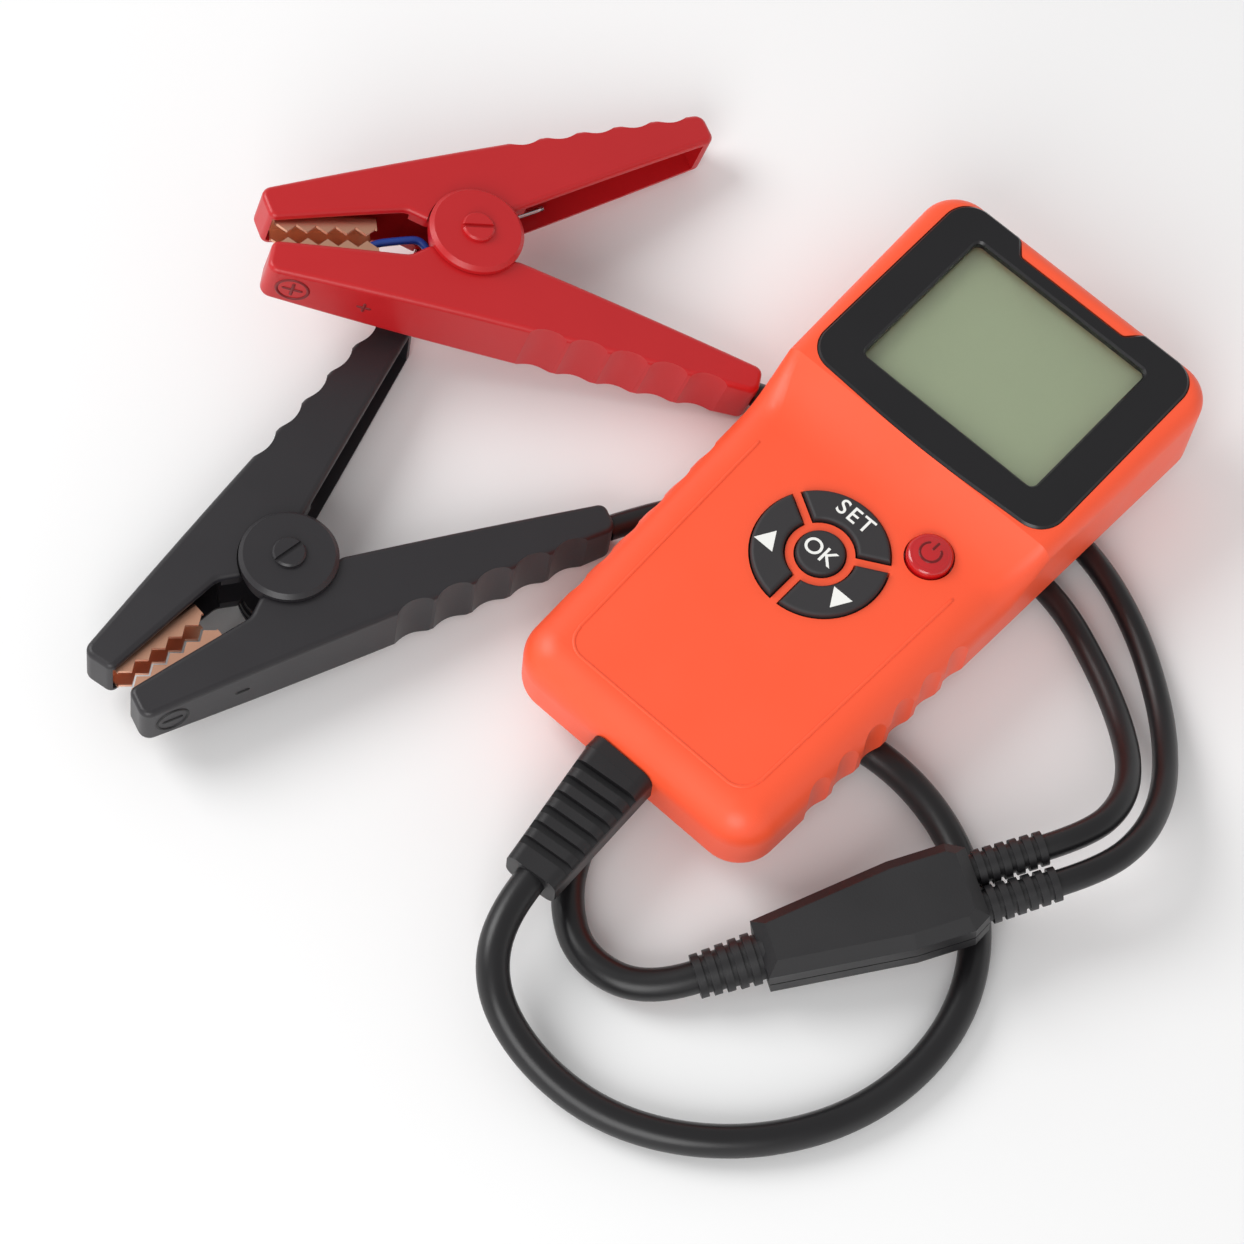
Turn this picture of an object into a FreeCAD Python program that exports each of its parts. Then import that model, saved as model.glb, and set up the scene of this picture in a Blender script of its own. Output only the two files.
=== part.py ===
import FreeCAD, Part
import math
import os

"""Handheld battery tester with a Y-split test cable and two Kelvin clamps, in millimetres.

The tester lies on its back across its own cables, long axis on +Y, face up (+Z), table at z = 0.
The tester's pieces are modelled in its own frame: y = 0 at mid length and z = 0 on its back.
Each clamp is modelled about its pivot: nose to -X, handles to +X, pivot axis on Z.
"""

Vector = FreeCAD.Vector
Rotation = FreeCAD.Rotation
Placement = FreeCAD.Placement

doc = FreeCAD.newDocument("battery_tester")
dims = doc.addObject("Spreadsheet::Sheet", "dims")

SIZES = [
    ("tester_x", 53.7, "tester's middle from the origin"),
    ("tester_y", 31.2, "tester's middle from the origin"),
    ("tester_lift", 7.3, "back above the table: it lies on the cables"),
    ("body_length", 150.0, "housing, end to end"),
    ("top_width", 77.0, "housing across its display end"),
    ("bottom_width", 67.0, "housing across its cable end"),
    ("rear_height", 8.0, "parting plane of the two shells"),
    ("keypad_height", 18.5, "keypad face above the back"),
    ("head_height", 24.0, "display face above the back"),
    ("wall", 2.2, "shell wall"),
    ("shoulder_radius", 8.0, "round of the keypad face into the sides"),
    ("head_radius", 3.5, "round of the display face into the sides"),
    ("rear_radius", 3.0, "round of the back into the sides"),
    ("bottom_corner", 9.5, "plan corner at the cable end"),
    ("top_corner", 9.0, "plan corner at the display end"),
    ("sweep_start", 3.0, "keypad face turns up here"),
    ("sweep_end", 18.0, "display face starts here"),
    ("lip_height", 1.5, "locating lip of the rear cover above the parting plane"),
    ("lip_thickness", 1.0, "locating lip"),
    ("fit_gap", 0.15, "clearance of parts that slip into each other"),
    ("key_gap", 0.4, "clearance round keys in the shell"),
    ("grip_pitch", 8.6, "spacing of the grip scallops"),
    ("grip_first", -9.5, "first scallop along the side"),
    ("grip_radius", 5.5, "scallop radius"),
    ("grip_depth", 1.3, "scallop depth"),
    ("bezel_width", 66.7, "black display frame"),
    ("bezel_bottom", 18.6, "lower edge of the display frame"),
    ("bezel_top", 73.6, "upper edge of the display frame"),
    ("bezel_corner", 6.5, "corner of the display frame"),
    ("bezel_recess", 1.6, "depth of its seat in the shell"),
    ("bezel_thickness", 2.0, "display frame"),
    ("notch_width", 29.0, "tab notch in the display frame's upper edge"),
    ("notch_depth", 3.6, "tab notch"),
    ("window_width", 47.7, "opening of the display frame"),
    ("window_height", 39.4, "opening of the display frame"),
    ("window_middle", 46.8, "middle of the opening"),
    ("window_corner", 1.6, "corner of the opening"),
    ("lens_margin", 1.3, "lens reaches this far under the frame"),
    ("lens_thickness", 1.2, "clear lens"),
    ("lcd_margin", 3.4, "display glass reaches this far past the opening"),
    ("lcd_thickness", 2.2, "display glass"),
    ("board_width", 54.0, "circuit board"),
    ("board_bottom", -58.0, "circuit board's lower end"),
    ("board_top", 62.0, "circuit board's upper end"),
    ("board_level", "=keypad_height - 5.9", "underside of the circuit board"),
    ("board_thickness", 1.6, "circuit board"),
    ("ring_y", -13.7, "middle of the round key cluster"),
    ("ring_radius", 14.9, "outside of the three curved keys"),
    ("ring_inner", 7.9, "inside of the three curved keys"),
    ("spoke_gap", 2.5, "gap between neighbouring curved keys"),
    ("ok_radius", 5.3, "round middle key"),
    ("key_proud", 1.3, "keys above the keypad face"),
    ("key_flange", 0.8, "retaining rim round each key's foot"),
    ("key_travel", 0.8, "stroke of every key"),
    ("dome_height", 0.4, "metal switch dome"),
    ("power_y", 1.9, "power key"),
    ("power_away", 8.320680, "power key's middle off the curved keys"),
    ("power_x", "=sqrt((ring_radius + power_away)^2 - (power_y - ring_y)^2)", "power key"),
    ("power_radius", 5.1, "power key"),
    ("post_x", 24.0, "board post"),
    ("post_low", -53.0, "board posts at the cable end"),
    ("post_high", 14.0, "board posts at the display end"),
    ("post_radius", 2.6, "board post"),
    ("boss_low_x", 24.5, "case screw at the cable end"),
    ("boss_low_y", -66.0, "case screw at the cable end"),
    ("boss_high_x", 31.4, "case screw at the display end"),
    ("boss_high_y", 67.0, "case screw at the display end"),
    ("boss_radius", 3.4, "case screw boss"),
    ("screw_radius", 1.4, "case screw shank"),
    ("screw_head", 2.7, "case screw head"),
    ("relief_width", 16.0, "strain relief at its root"),
    ("relief_tip", 12.3, "strain relief at its tip"),
    ("relief_thickness", 10.6, "strain relief at its root"),
    ("relief_end", 9.0, "strain relief thickness at its tip"),
    ("relief_length", 32.0, "strain relief outside the housing"),
    ("relief_yaw", 6.0, "strain relief flexed to the side, degrees"),
    ("relief_bars", 7, "bars on the strain relief"),
    ("relief_slot", 1.9, "slot between two bars"),
    ("neck_width", 10.4, "strain relief where it passes the wall"),
    ("neck_thickness", 7.0, "strain relief where it passes the wall"),
    ("main_radius", 3.5, "main cable"),
    ("lead_radius", 2.8, "clamp lead"),
    ("splitter_x", 113.0, "middle of the splitter"),
    ("splitter_y", -33.4, "middle of the splitter"),
    ("splitter_z", 11.6, "middle of the splitter"),
    ("splitter_yaw", 59.0, "splitter's heading, degrees"),
    ("splitter_pitch", 8.0, "splitter's outlet end raised, degrees"),
    ("splitter_length", 47.0, "splitter's block"),
    ("splitter_inlet", 13.0, "block's width at the inlet"),
    ("splitter_outlet", 20.0, "block's width at the outlets"),
    ("splitter_height", 14.0, "block"),
    ("splitter_bevel", 2.6, "block's bevelled edges"),
    ("collar_length", 14.0, "ribbed collar"),
    ("outlet_spacing", 8.2, "between the two outlets"),
    ("red_x", -53.4, "red clamp's pivot"),
    ("red_y", 23.1, "red clamp's pivot"),
    ("red_z", 19.2, "red clamp's pivot: its nose rides on the black clamp's handle"),
    ("red_yaw", 49.0, "red clamp's heading, degrees"),
    ("red_pitch", 12.5, "red clamp's nose raised, degrees"),
    ("black_x", -29.2, "black clamp's pivot"),
    ("black_y", -58.5, "black clamp's pivot"),
    ("black_z", 10.2, "black clamp's pivot"),
    ("black_yaw", 83.6, "black clamp's heading, degrees"),
    ("black_pitch", 4.0, "black clamp's nose raised, degrees"),
    ("nose_reach", 47.0, "pivot to nose"),
    ("handle_reach", 60.0, "pivot to the moving handle's end"),
    ("fixed_extra", 3.3, "fixed handle is this much longer"),
    ("arm_slope", 13.9, "outer edge of each arm off the jaw line, degrees"),
    ("handle_slope", 18.0, "handle's own direction, degrees"),
    ("arm_thickness", 15.0, "clamp's thickness at the pivot"),
    ("nose_thickness", 10.6, "clamp's thickness at the nose"),
    ("tail_thickness", 11.2, "clamp's thickness at the handle ends"),
    ("cheek", 1.6, "side cheeks of the arms"),
    ("web", 2.0, "outer wall of the arms"),
    ("lug_radius", 10.0, "pivot lugs"),
    ("lug_gap", 0.5, "clearance between one arm's lug and the other arm"),
    ("pivot_radius", 2.5, "pivot pin"),
    ("pivot_gap", 0.05, "running clearance on the pin"),
    ("cap_radius", 10.7, "pivot cap"),
    ("cap_thickness", 1.9, "pivot cap"),
    ("pin_head", 3.6, "slotted pin head"),
    ("jaw_length", 22.6, "copper jaw"),
    ("jaw_sheet", 0.8, "copper sheet"),
    ("jaw_width", 7.0, "copper jaw over its sides"),
    ("jaw_depth", 4.8, "copper jaw, tooth tip to back"),
    ("tooth_pitch", 4.4, "jaw teeth"),
    ("tooth_depth", 1.7, "jaw teeth"),
    ("bite_gap", 0.8, "tooth tip to the jaw line"),
    ("wire_radius", 0.65, "spring wire"),
    ("coil_radius", 5.2, "spring coil, to the wire's middle"),
    ("coil_pitch", 1.8, "spring coil"),
    ("coil_turns", 2, "whole turns of the spring before its legs' angle"),
    ("leg_length", 24.0, "spring leg"),
    ("leg_slope", 24.0, "spring leg off the jaw line, degrees"),
    ("sense_radius", 0.9, "blue sense wire"),
]

for row, (alias, value, note) in enumerate(SIZES, 1):
    dims.set("A%d" % row, note)
    dims.set("B%d" % row, str(value))
    dims.setAlias("B%d" % row, alias)
doc.recompute()


def size(name):
    """A driving dimension, read from its cell."""
    return float(dims.get(name))


TESTER = Placement(Vector(size("tester_x"), size("tester_y"), size("tester_lift")), Rotation())
TOP = size("body_length") / 2
WALL = size("wall")
REAR = size("rear_height")
KEYPAD = size("keypad_height")
HEAD = size("head_height")
SEAT = HEAD - size("bezel_recess")
ROOF = KEYPAD - WALL
HEAD_ROOF = SEAT - WALL
BOARD = size("board_level") + size("board_thickness")

nodes = []


# Helpers for outlines, solids and document objects


def feature(label, shape, placement):
    """A node whose solid was worked out by a function."""
    node = doc.addObject("Part::Feature", label)
    node.Label = label
    node.Shape = shape
    node.Placement = placement
    nodes.append(node)
    return node


def rounded(corners, z=0.0):
    """Closed outline through (x, y, radius) corners, as edges at height z."""
    count = len(corners)
    ends = []
    for i, (x, y, radius) in enumerate(corners):
        point = Vector(x, y, z)
        before = Vector(corners[i - 1][0], corners[i - 1][1], z) - point
        after = Vector(corners[(i + 1) % count][0], corners[(i + 1) % count][1], z) - point
        before.normalize()
        after.normalize()
        if radius <= 0:
            ends.append((point, None, point))
            continue
        angle = before.getAngle(after)
        reach = radius / math.tan(angle / 2)
        inward = (before + after).normalize()
        middle = point + inward * (radius / math.sin(angle / 2) - radius)
        ends.append((point + before * reach, middle, point + after * reach))
    edges = []
    for i, (start, middle, end) in enumerate(ends):
        if middle is not None:
            edges.append(Part.Arc(start, middle, end))
        following = ends[(i + 1) % count][0]
        if end.distanceToPoint(following) > 1e-6:
            edges.append(Part.LineSegment(end, following))
    return edges


def prism(corners, low, high):
    """Straight solid on a rounded outline between two heights."""
    wire = Part.Wire([edge.toShape() for edge in rounded(corners, low)])
    return Part.Face(wire).extrude(Vector(0, 0, high - low))


def rectangle(width, height, middle_y, corner):
    """Corners of a rectangle centred on x = 0."""
    x = width / 2
    y = height / 2
    return [
        (-x, middle_y - y, corner),
        (x, middle_y - y, corner),
        (x, middle_y + y, corner),
        (-x, middle_y + y, corner),
    ]


def rod(x, y, radius, low, high):
    """Upright cylinder."""
    return Part.makeCylinder(radius, high - low, Vector(x, y, low))


def both_sides(points):
    """Points mirrored to the other side of x = 0 as well."""
    return [(side * x, y) for x, y in points for side in (-1, 1)]


def joined(shapes):
    """One clean solid from touching solids."""
    whole = shapes[0].fuse(shapes[1:]).removeSplitter()
    return whole.Solids[0] if len(whole.Solids) == 1 else whole


def body(label, placement):
    """A body that becomes a node."""
    node = doc.addObject("PartDesign::Body", label)
    node.Label = label
    node.Placement = placement
    nodes.append(node)
    return node


def sketch(owner, name, level, outlines):
    """Sketch at a height given by an expression, with closed outlines (edges or (x, y, radius))."""
    drawing = owner.newObject("Sketcher::SketchObject", owner.Name + "_" + name)
    plane = [f for f in owner.Origin.OriginFeatures if f.Role == "XY_Plane"][0]
    drawing.AttachmentSupport = (plane, [""])
    drawing.MapMode = "FlatFace"
    drawing.setExpression("AttachmentOffset.Base.z", level)
    for outline in outlines:
        if isinstance(outline, tuple):
            x, y, radius = outline
            drawing.addGeometry(Part.Circle(Vector(x, y, 0), Vector(0, 0, 1), radius), False)
        else:
            drawing.addGeometry(outline, False)
    return drawing


def pad(owner, name, level, length, outlines):
    """Adds material upwards from a level; both sizes are expressions on the sheet."""
    drawing = sketch(owner, name, level, outlines)
    step = owner.newObject("PartDesign::Pad", drawing.Name + "_pad")
    step.Profile = drawing
    step.setExpression("Length", length)
    doc.recompute()
    return step


def pocket(owner, name, level, depth, outlines):
    """Cuts downwards from a level; both sizes are expressions on the sheet."""
    drawing = sketch(owner, name, level, outlines)
    step = owner.newObject("PartDesign::Pocket", drawing.Name + "_cut")
    step.Profile = drawing
    step.setExpression("Length", depth)
    doc.recompute()
    return step


def edge_names(step, chosen):
    """Names of a feature's edges that a test on their box accepts."""
    return ["Edge%d" % (i + 1) for i, e in enumerate(step.Shape.Edges) if chosen(e.BoundBox)]


def dress(owner, kind, step, radius, chosen):
    """Fillet or chamfer on chosen edges, its size an expression on the sheet."""
    finish = owner.newObject("PartDesign::" + kind, step.Name + "_" + kind.lower())
    finish.Base = (step, edge_names(step, chosen))
    finish.setExpression("Radius" if kind == "Fillet" else "Size", radius)
    doc.recompute()
    return finish


# Housing of the tester


def half_width(y):
    """Half of the housing's width: it tapers evenly from display end to cable end."""
    low = size("bottom_width") / 2
    high = size("top_width") / 2
    return low + (high - low) * (y + TOP) / (2 * TOP)


def plan(inset, low, high, low_corner, high_corner):
    """Housing outline between two stations along its length, drawn in by an inset."""
    near = half_width(low) - inset
    far = half_width(high) - inset
    return [(-near, low, low_corner), (near, low, low_corner), (far, high, high_corner), (-far, high, high_corner)]


def crowned(corners, low, high, radius, open_end):
    """Prism whose top edges are rounded, apart from those on its open end."""
    block = prism(corners, low, high)
    rims = []
    for edge in block.Edges:
        box = edge.BoundBox
        at_end = abs(box.YMin - open_end) < 1e-4 and abs(box.YMax - open_end) < 1e-4
        if box.ZMin > high - 1e-4 and not at_end:
            rims.append(edge)
    return block.makeFillet(radius, rims)


def end_wire(block, station):
    """Outline of a block's flat end."""
    for face in block.Faces:
        box = face.BoundBox
        if abs(box.YMin - station) < 1e-4 and abs(box.YMax - station) < 1e-4:
            return face.OuterWire


def cross_section(y, low, high, radius):
    """Loaf-shaped section of the housing at one station."""
    x = half_width(y)
    slant = radius * math.sqrt(0.5)

    def at(across, up):
        return Vector(across, y, up)

    edges = [
        Part.LineSegment(at(-x, low), at(x, low)),
        Part.LineSegment(at(x, low), at(x, high - radius)),
        Part.Arc(at(x, high - radius), at(x - radius + slant, high - radius + slant), at(x - radius, high)),
        Part.LineSegment(at(x - radius, high), at(-x + radius, high)),
        Part.Arc(at(-x + radius, high), at(-x + radius - slant, high - radius + slant), at(-x, high - radius)),
        Part.LineSegment(at(-x, high - radius), at(-x, low)),
    ]
    return Part.Wire([edge.toShape() for edge in edges])


def outer_form():
    """Front of the housing: keypad slab, display head and the hollow sweep between them.

    The sweep rises on an arc that is tangent to the keypad face, while the round of its
    shoulders eases from the slab's to the head's.
    """
    start = size("sweep_start")
    end = size("sweep_end")
    slab = crowned(plan(0, -TOP, start, size("bottom_corner"), 0), REAR, KEYPAD, size("shoulder_radius"), start)
    head = crowned(plan(0, end, TOP, 0, size("top_corner")), REAR, HEAD, size("head_radius"), end)
    climb = HEAD - KEYPAD
    arc = ((end - start) ** 2 + climb**2) / (2 * climb)
    stations = 5
    sections = [end_wire(slab, start)]
    for i in range(1, stations):
        share = i / stations
        y = start + (end - start) * share
        ease = share * share * (3 - 2 * share)
        radius = size("shoulder_radius") + (size("head_radius") - size("shoulder_radius")) * ease
        height = KEYPAD + arc - math.sqrt(arc**2 - (y - start) ** 2)
        sections.append(cross_section(y, REAR, height, radius))
    sections.append(end_wire(head, end))
    return joined([slab, Part.makeLoft(sections, True, False), head])


def bezel_outline(grow):
    """Display frame: rounded, its lower edge bowed, a notch for the shell's tab in its upper edge."""
    x = size("bezel_width") / 2 + grow
    low = size("bezel_bottom") - grow
    high = size("bezel_top") + grow
    corner = size("bezel_corner") + grow
    notch = size("notch_width") / 2 - grow
    step = high - size("notch_depth")
    small = 1.4
    bow = 0.9
    return [
        (-x, low + bow, corner),
        (0, low - bow, 4 * size("bezel_width")),
        (x, low + bow, corner),
        (x, high, corner),
        (notch + 3, high, small),
        (notch, step, small),
        (-notch, step, small),
        (-notch - 3, high, small),
        (-x, high, corner),
    ]


def sector_outline(start, end, inner, outer, gap):
    """Curved key between two angles in degrees, its straight flanks half a gap off the spokes."""
    corners = []
    for radius, angle, turn in ((inner, start, 1), (outer, start, 1), (outer, end, -1), (inner, end, -1)):
        swing = math.radians(angle) + turn * math.asin(gap / 2 / radius)
        corners.append(Vector(radius * math.cos(swing), size("ring_y") + radius * math.sin(swing), 0))
    middle = math.radians((start + end) / 2)
    toward = Vector(math.cos(middle), math.sin(middle), 0)
    centre = Vector(0, size("ring_y"), 0)
    return [
        Part.LineSegment(corners[0], corners[1]),
        Part.Arc(corners[1], centre + toward * outer, corners[2]),
        Part.LineSegment(corners[2], corners[3]),
        Part.Arc(corners[3], centre + toward * inner, corners[0]),
    ]


SECTORS = {"set_button": (30, 150), "up_button": (150, 270), "down_button": (-90, 30)}
ROUND_KEYS = {
    "ok_button": (0.0, size("ring_y"), size("ok_radius")),
    "power_button": (size("power_x"), size("power_y"), size("power_radius")),
}


def key_outlines(grow):
    """Outlines of all five keys, grown all round."""
    outlines = {}
    for name, (start, end) in SECTORS.items():
        inner = size("ring_inner") - grow
        outer = size("ring_radius") + grow
        outlines[name] = sector_outline(start, end, inner, outer, size("spoke_gap") - 2 * grow)
    for name, (x, y, radius) in ROUND_KEYS.items():
        outlines[name] = (x, y, radius + grow)
    return outlines


def outline_prism(outline, low, high):
    """Solid on a key's outline."""
    if isinstance(outline, tuple):
        x, y, radius = outline
        return rod(x, y, radius, low, high)
    wire = Part.Wire([edge.toShape() for edge in outline])
    wire.translate(Vector(0, 0, low))
    return Part.Face(wire).extrude(Vector(0, 0, high - low))


CASE_SCREWS = both_sides(
    [(size("boss_low_x"), size("boss_low_y")), (size("boss_high_x"), size("boss_high_y"))]
)
LOW_POSTS = both_sides([(size("post_x"), size("post_low"))])
HIGH_POSTS = both_sides([(size("post_x"), size("post_high"))])


def grip_scallops(low, high):
    """Six upright flutes down each side of the keypad end."""
    flutes = []
    for i in range(6):
        y = size("grip_first") - i * size("grip_pitch")
        x = half_width(y) + size("grip_radius") - size("grip_depth")
        flutes += [rod(side * x, y, size("grip_radius"), low, high) for side in (-1, 1)]
    return flutes


def neck_block(gap):
    """The strain relief's neck through the end wall, and the room for it."""
    width = size("neck_width") + 2 * gap
    height = size("neck_thickness") + 2 * gap
    corner = Vector(-width / 2, -TOP - WALL, REAR - height / 2)
    return Part.makeBox(width, 4 * WALL, height, corner)


def front_shell():
    """Front moulding: hollow, with seats for the display frame, keys, board posts and case screws."""
    shell = outer_form()
    end = size("sweep_end")
    slab_room = crowned(
        plan(WALL, -TOP + WALL, end + 2 * WALL, size("bottom_corner") - WALL, 0),
        REAR - 1,
        ROOF,
        size("shoulder_radius") - WALL,
        end + 2 * WALL,
    )
    head_room = prism(plan(WALL, end + WALL, TOP - WALL, 0, size("top_corner") - WALL), REAR - 1, HEAD_ROOF)
    lens = rectangle(
        size("window_width") + 2 * (size("lens_margin") + size("fit_gap")),
        size("window_height") + 2 * (size("lens_margin") + size("fit_gap")),
        size("window_middle"),
        size("window_corner"),
    )
    cuts = [slab_room, head_room, prism(bezel_outline(size("fit_gap")), SEAT, HEAD + 1)]
    cuts += [prism(lens, HEAD_ROOF - 1, HEAD), neck_block(size("fit_gap"))]
    cuts += [outline_prism(o, REAR, HEAD) for o in key_outlines(size("key_gap")).values()]
    cuts += grip_scallops(REAR - 1, HEAD)
    shell = shell.cut(cuts)
    posts = [rod(x, y, size("post_radius"), BOARD, ROOF + WALL / 2) for x, y in LOW_POSTS + HIGH_POSTS]
    posts += [rod(x, y, size("boss_radius"), REAR, ROOF - 1) for x, y in CASE_SCREWS[:2]]
    posts += [rod(x, y, size("boss_radius"), REAR, HEAD_ROOF + WALL / 2) for x, y in CASE_SCREWS[2:]]
    ribs = [corner_rib(x, y) for x, y in CASE_SCREWS[:2]]
    holes = [rod(x, y, size("screw_radius") * 0.72, BOARD - 1, ROOF) for x, y in LOW_POSTS + HIGH_POSTS]
    holes += [rod(x, y, size("screw_radius"), REAR - 1, ROOF - 2) for x, y in CASE_SCREWS]
    return joined([shell] + posts + ribs).cut(holes)


def corner_rib(x, y):
    """Rib that ties a case-screw boss to the end wall."""
    thickness = 1.6
    low = REAR + size("lip_height") + 2 * size("fit_gap")
    corner = Vector(x - thickness / 2, -TOP + WALL / 2, low)
    return Part.makeBox(thickness, y + TOP - WALL / 2, ROOF - 2 - low, corner)


feature("front_shell", front_shell().Solids[0], TESTER)


def rear_cover():
    """Shallow rear moulding with a locating lip and four screw posts."""
    tub = body("rear_cover", TESTER)
    full = rounded(plan(0, -TOP, TOP, size("bottom_corner"), size("top_corner")))
    slab = pad(tub, "outline", "0", "dims.rear_height", [full])
    base = dress(tub, "Fillet", slab, "dims.rear_radius", lambda box: box.ZMax < 1e-4)
    inner = size("bottom_corner") - WALL
    upper = size("top_corner") - WALL
    room = rounded(plan(WALL, -TOP + WALL, TOP - WALL, inner, upper))
    pocket(tub, "room", "dims.rear_height", "dims.rear_height - dims.wall", [room])
    slack = WALL + size("fit_gap")
    thin = slack + size("lip_thickness")
    outside = rounded(plan(slack, -TOP + slack, TOP - slack, inner, upper))
    inside = rounded(plan(thin, -TOP + thin, TOP - thin, inner, upper))
    pad(tub, "lip", "dims.wall / 2", "dims.rear_height - dims.wall / 2 + dims.lip_height", [outside, inside])
    posts = [(x, y, size("boss_radius") + 0.4) for x, y in CASE_SCREWS]
    pad(tub, "posts", "dims.wall / 2", "dims.rear_height - dims.wall / 2", posts)
    shanks = [(x, y, size("screw_radius") + size("fit_gap")) for x, y in CASE_SCREWS]
    pocket(tub, "shanks", "dims.rear_height + 1", "dims.rear_height + 2", shanks)
    heads = [(x, y, size("screw_head") + 0.3) for x, y in CASE_SCREWS]
    pocket(tub, "heads", "2.6", "3", heads)
    return base


rear_cover()


def trimmed(label, cutters):
    """Replaces a body node by what is left of it after cutting."""
    source = [n for n in nodes if n.Label == label][0]
    nodes.remove(source)
    shape = source.Tip.Shape.cut(cutters)
    source.Label = label + "_blank"
    feature(label, shape.Solids[0], TESTER)


BOSS_ROOM = [rod(x, y, size("boss_radius") + size("fit_gap"), REAR, REAR + WALL) for x, y in CASE_SCREWS]
trimmed("rear_cover", [neck_block(size("fit_gap"))] + grip_scallops(-1, REAR + WALL) + BOSS_ROOM)


# Display and electronics


def display():
    """Display frame, clear lens, display glass and its backlight, stacked under the shell's roof."""
    opening = rounded(
        rectangle(size("window_width"), size("window_height"), size("window_middle"), size("window_corner"))
    )
    frame = body("bezel_frame", TESTER)
    seat = "dims.head_height - dims.bezel_recess"
    plate = pad(frame, "plate", seat, "dims.bezel_thickness", [rounded(bezel_outline(0)), opening])
    upper = HEAD - size("bezel_recess") + size("bezel_thickness")
    dress(frame, "Chamfer", plate, "dims.bezel_thickness / 4", lambda box: box.ZMin > upper - 1e-4)
    lens = body("display_window", TESTER)
    margin = 2 * size("lens_margin")
    glass = rectangle(
        size("window_width") + margin, size("window_height") + margin, size("window_middle"), size("window_corner")
    )
    pad(lens, "pane", seat + " - dims.lens_thickness", "dims.lens_thickness", [rounded(glass)])
    margin = 2 * size("lcd_margin")
    cell = rounded(
        rectangle(size("window_width") + margin, size("window_height") + margin, size("window_middle"), 0.8)
    )
    panel = body("lcd_panel", TESTER)
    under = seat + " - dims.wall - dims.fit_gap - dims.lcd_thickness"
    pad(panel, "cell", under, "dims.lcd_thickness", [cell])
    light = body("backlight_plate", TESTER)
    top = "dims.board_level + dims.board_thickness + dims.fit_gap"
    pad(light, "plate", top, under + " - (" + top + ") - dims.fit_gap", [cell])


display()


def electronics():
    """Circuit board with its parts, and the five switch domes on it."""
    board = body("main_board", TESTER)
    low = size("board_bottom")
    high = size("board_top")
    edge = rounded(rectangle(size("board_width"), high - low, (low + high) / 2, 2.0))
    holes = [(x, y, size("screw_radius")) for x, y in LOW_POSTS + HIGH_POSTS]
    pad(board, "sheet", "dims.board_level", "dims.board_thickness", [edge] + holes)
    chip = rounded([(-8, 30, 0.5), (6, 30, 0.5), (6, 44, 0.5), (-8, 44, 0.5)])
    sounder = (14.0, -40.0, 4.6)
    load = rounded([(-18, -44, 0.5), (-6, -44, 0.5), (-6, -22, 0.5), (-18, -22, 0.5)])
    pad(board, "chip", "dims.board_level - 1.4", "1.6", [chip])
    pad(board, "load", "dims.board_level - 3", "3.2", [load])
    pad(board, "sounder", "dims.board_level - 2.6", "2.8", [sounder])
    ring = [(size("ring_radius") + size("ring_inner")) / 2 * v for v in (0.0, 1.0, -0.5)]
    side = ring[1] * math.sqrt(0.75)
    middles = [(0.0, ring[1]), (-side, ring[2]), (side, ring[2]), (0.0, 0.0)]
    spots = [(x, y + size("ring_y")) for x, y in middles] + [(size("power_x"), size("power_y"))]
    domes = [rod(x, y, 2.2, BOARD, BOARD + size("dome_height")) for x, y in spots]
    feature("switch_domes", Part.makeCompound(domes), TESTER)


electronics()

KEY_FOOT = "dims.board_level + dims.board_thickness + dims.dome_height + dims.key_travel + dims.fit_gap"
KEY_RIM = 0.6


def keypad():
    """Carrier sheet round the key wells, and five keys whose rims stay under the shell's roof."""
    sheet = body("keypad_membrane", TESTER)
    rim = size("key_flange") + 2 * size("key_gap")
    ring = (0.0, size("ring_y"), size("ring_radius") + rim)
    lone = (size("power_x"), size("power_y"), size("power_radius") + size("key_flange") + size("key_gap"))
    reach = size("power_x") + lone[2] + 2
    low = size("ring_y") - ring[2] - 2
    high = size("power_y") + lone[2] + 2
    edge = rounded(rectangle(2 * reach, high - low, (low + high) / 2, 4.0))
    level = "dims.board_level + dims.board_thickness"
    pad(sheet, "sheet", level, "dims.dome_height + %g" % KEY_RIM, [edge, ring, lone])
    caps = key_outlines(0)
    rims = key_outlines(size("key_flange"))
    for name in caps:
        key = body(name, TESTER)
        extra = 0.7 if name == "power_button" else 0.0
        pad(key, "rim", KEY_FOOT, "%g" % KEY_RIM, [rims[name]])
        height = "dims.keypad_height + dims.key_proud + %g - (%s)" % (extra, KEY_FOOT)
        cap = pad(key, "cap", KEY_FOOT, height, [caps[name]])
        crest = KEYPAD + size("key_proud") + extra
        round_over = "dims.key_proud * %g" % (0.9 if extra else 0.6)
        dress(key, "Fillet", cap, round_over, lambda box: box.ZMin > crest - 1e-4)


keypad()


def screw(x, y, low, head, head_height, shank, high):
    """Pan-head screw standing on its head, with a cross recess in the head."""
    solid = joined([rod(x, y, head, low, low + head_height), rod(x, y, shank, low + head_height - 0.1, high)])
    long = head * 1.1
    slim = head * 0.3
    deep = head_height * 0.5
    bars = [
        Part.makeBox(long, slim, deep, Vector(x - long / 2, y - slim / 2, low)),
        Part.makeBox(slim, long, deep, Vector(x - slim / 2, y - long / 2, low)),
    ]
    return solid.cut(bars).Solids[0]


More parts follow.
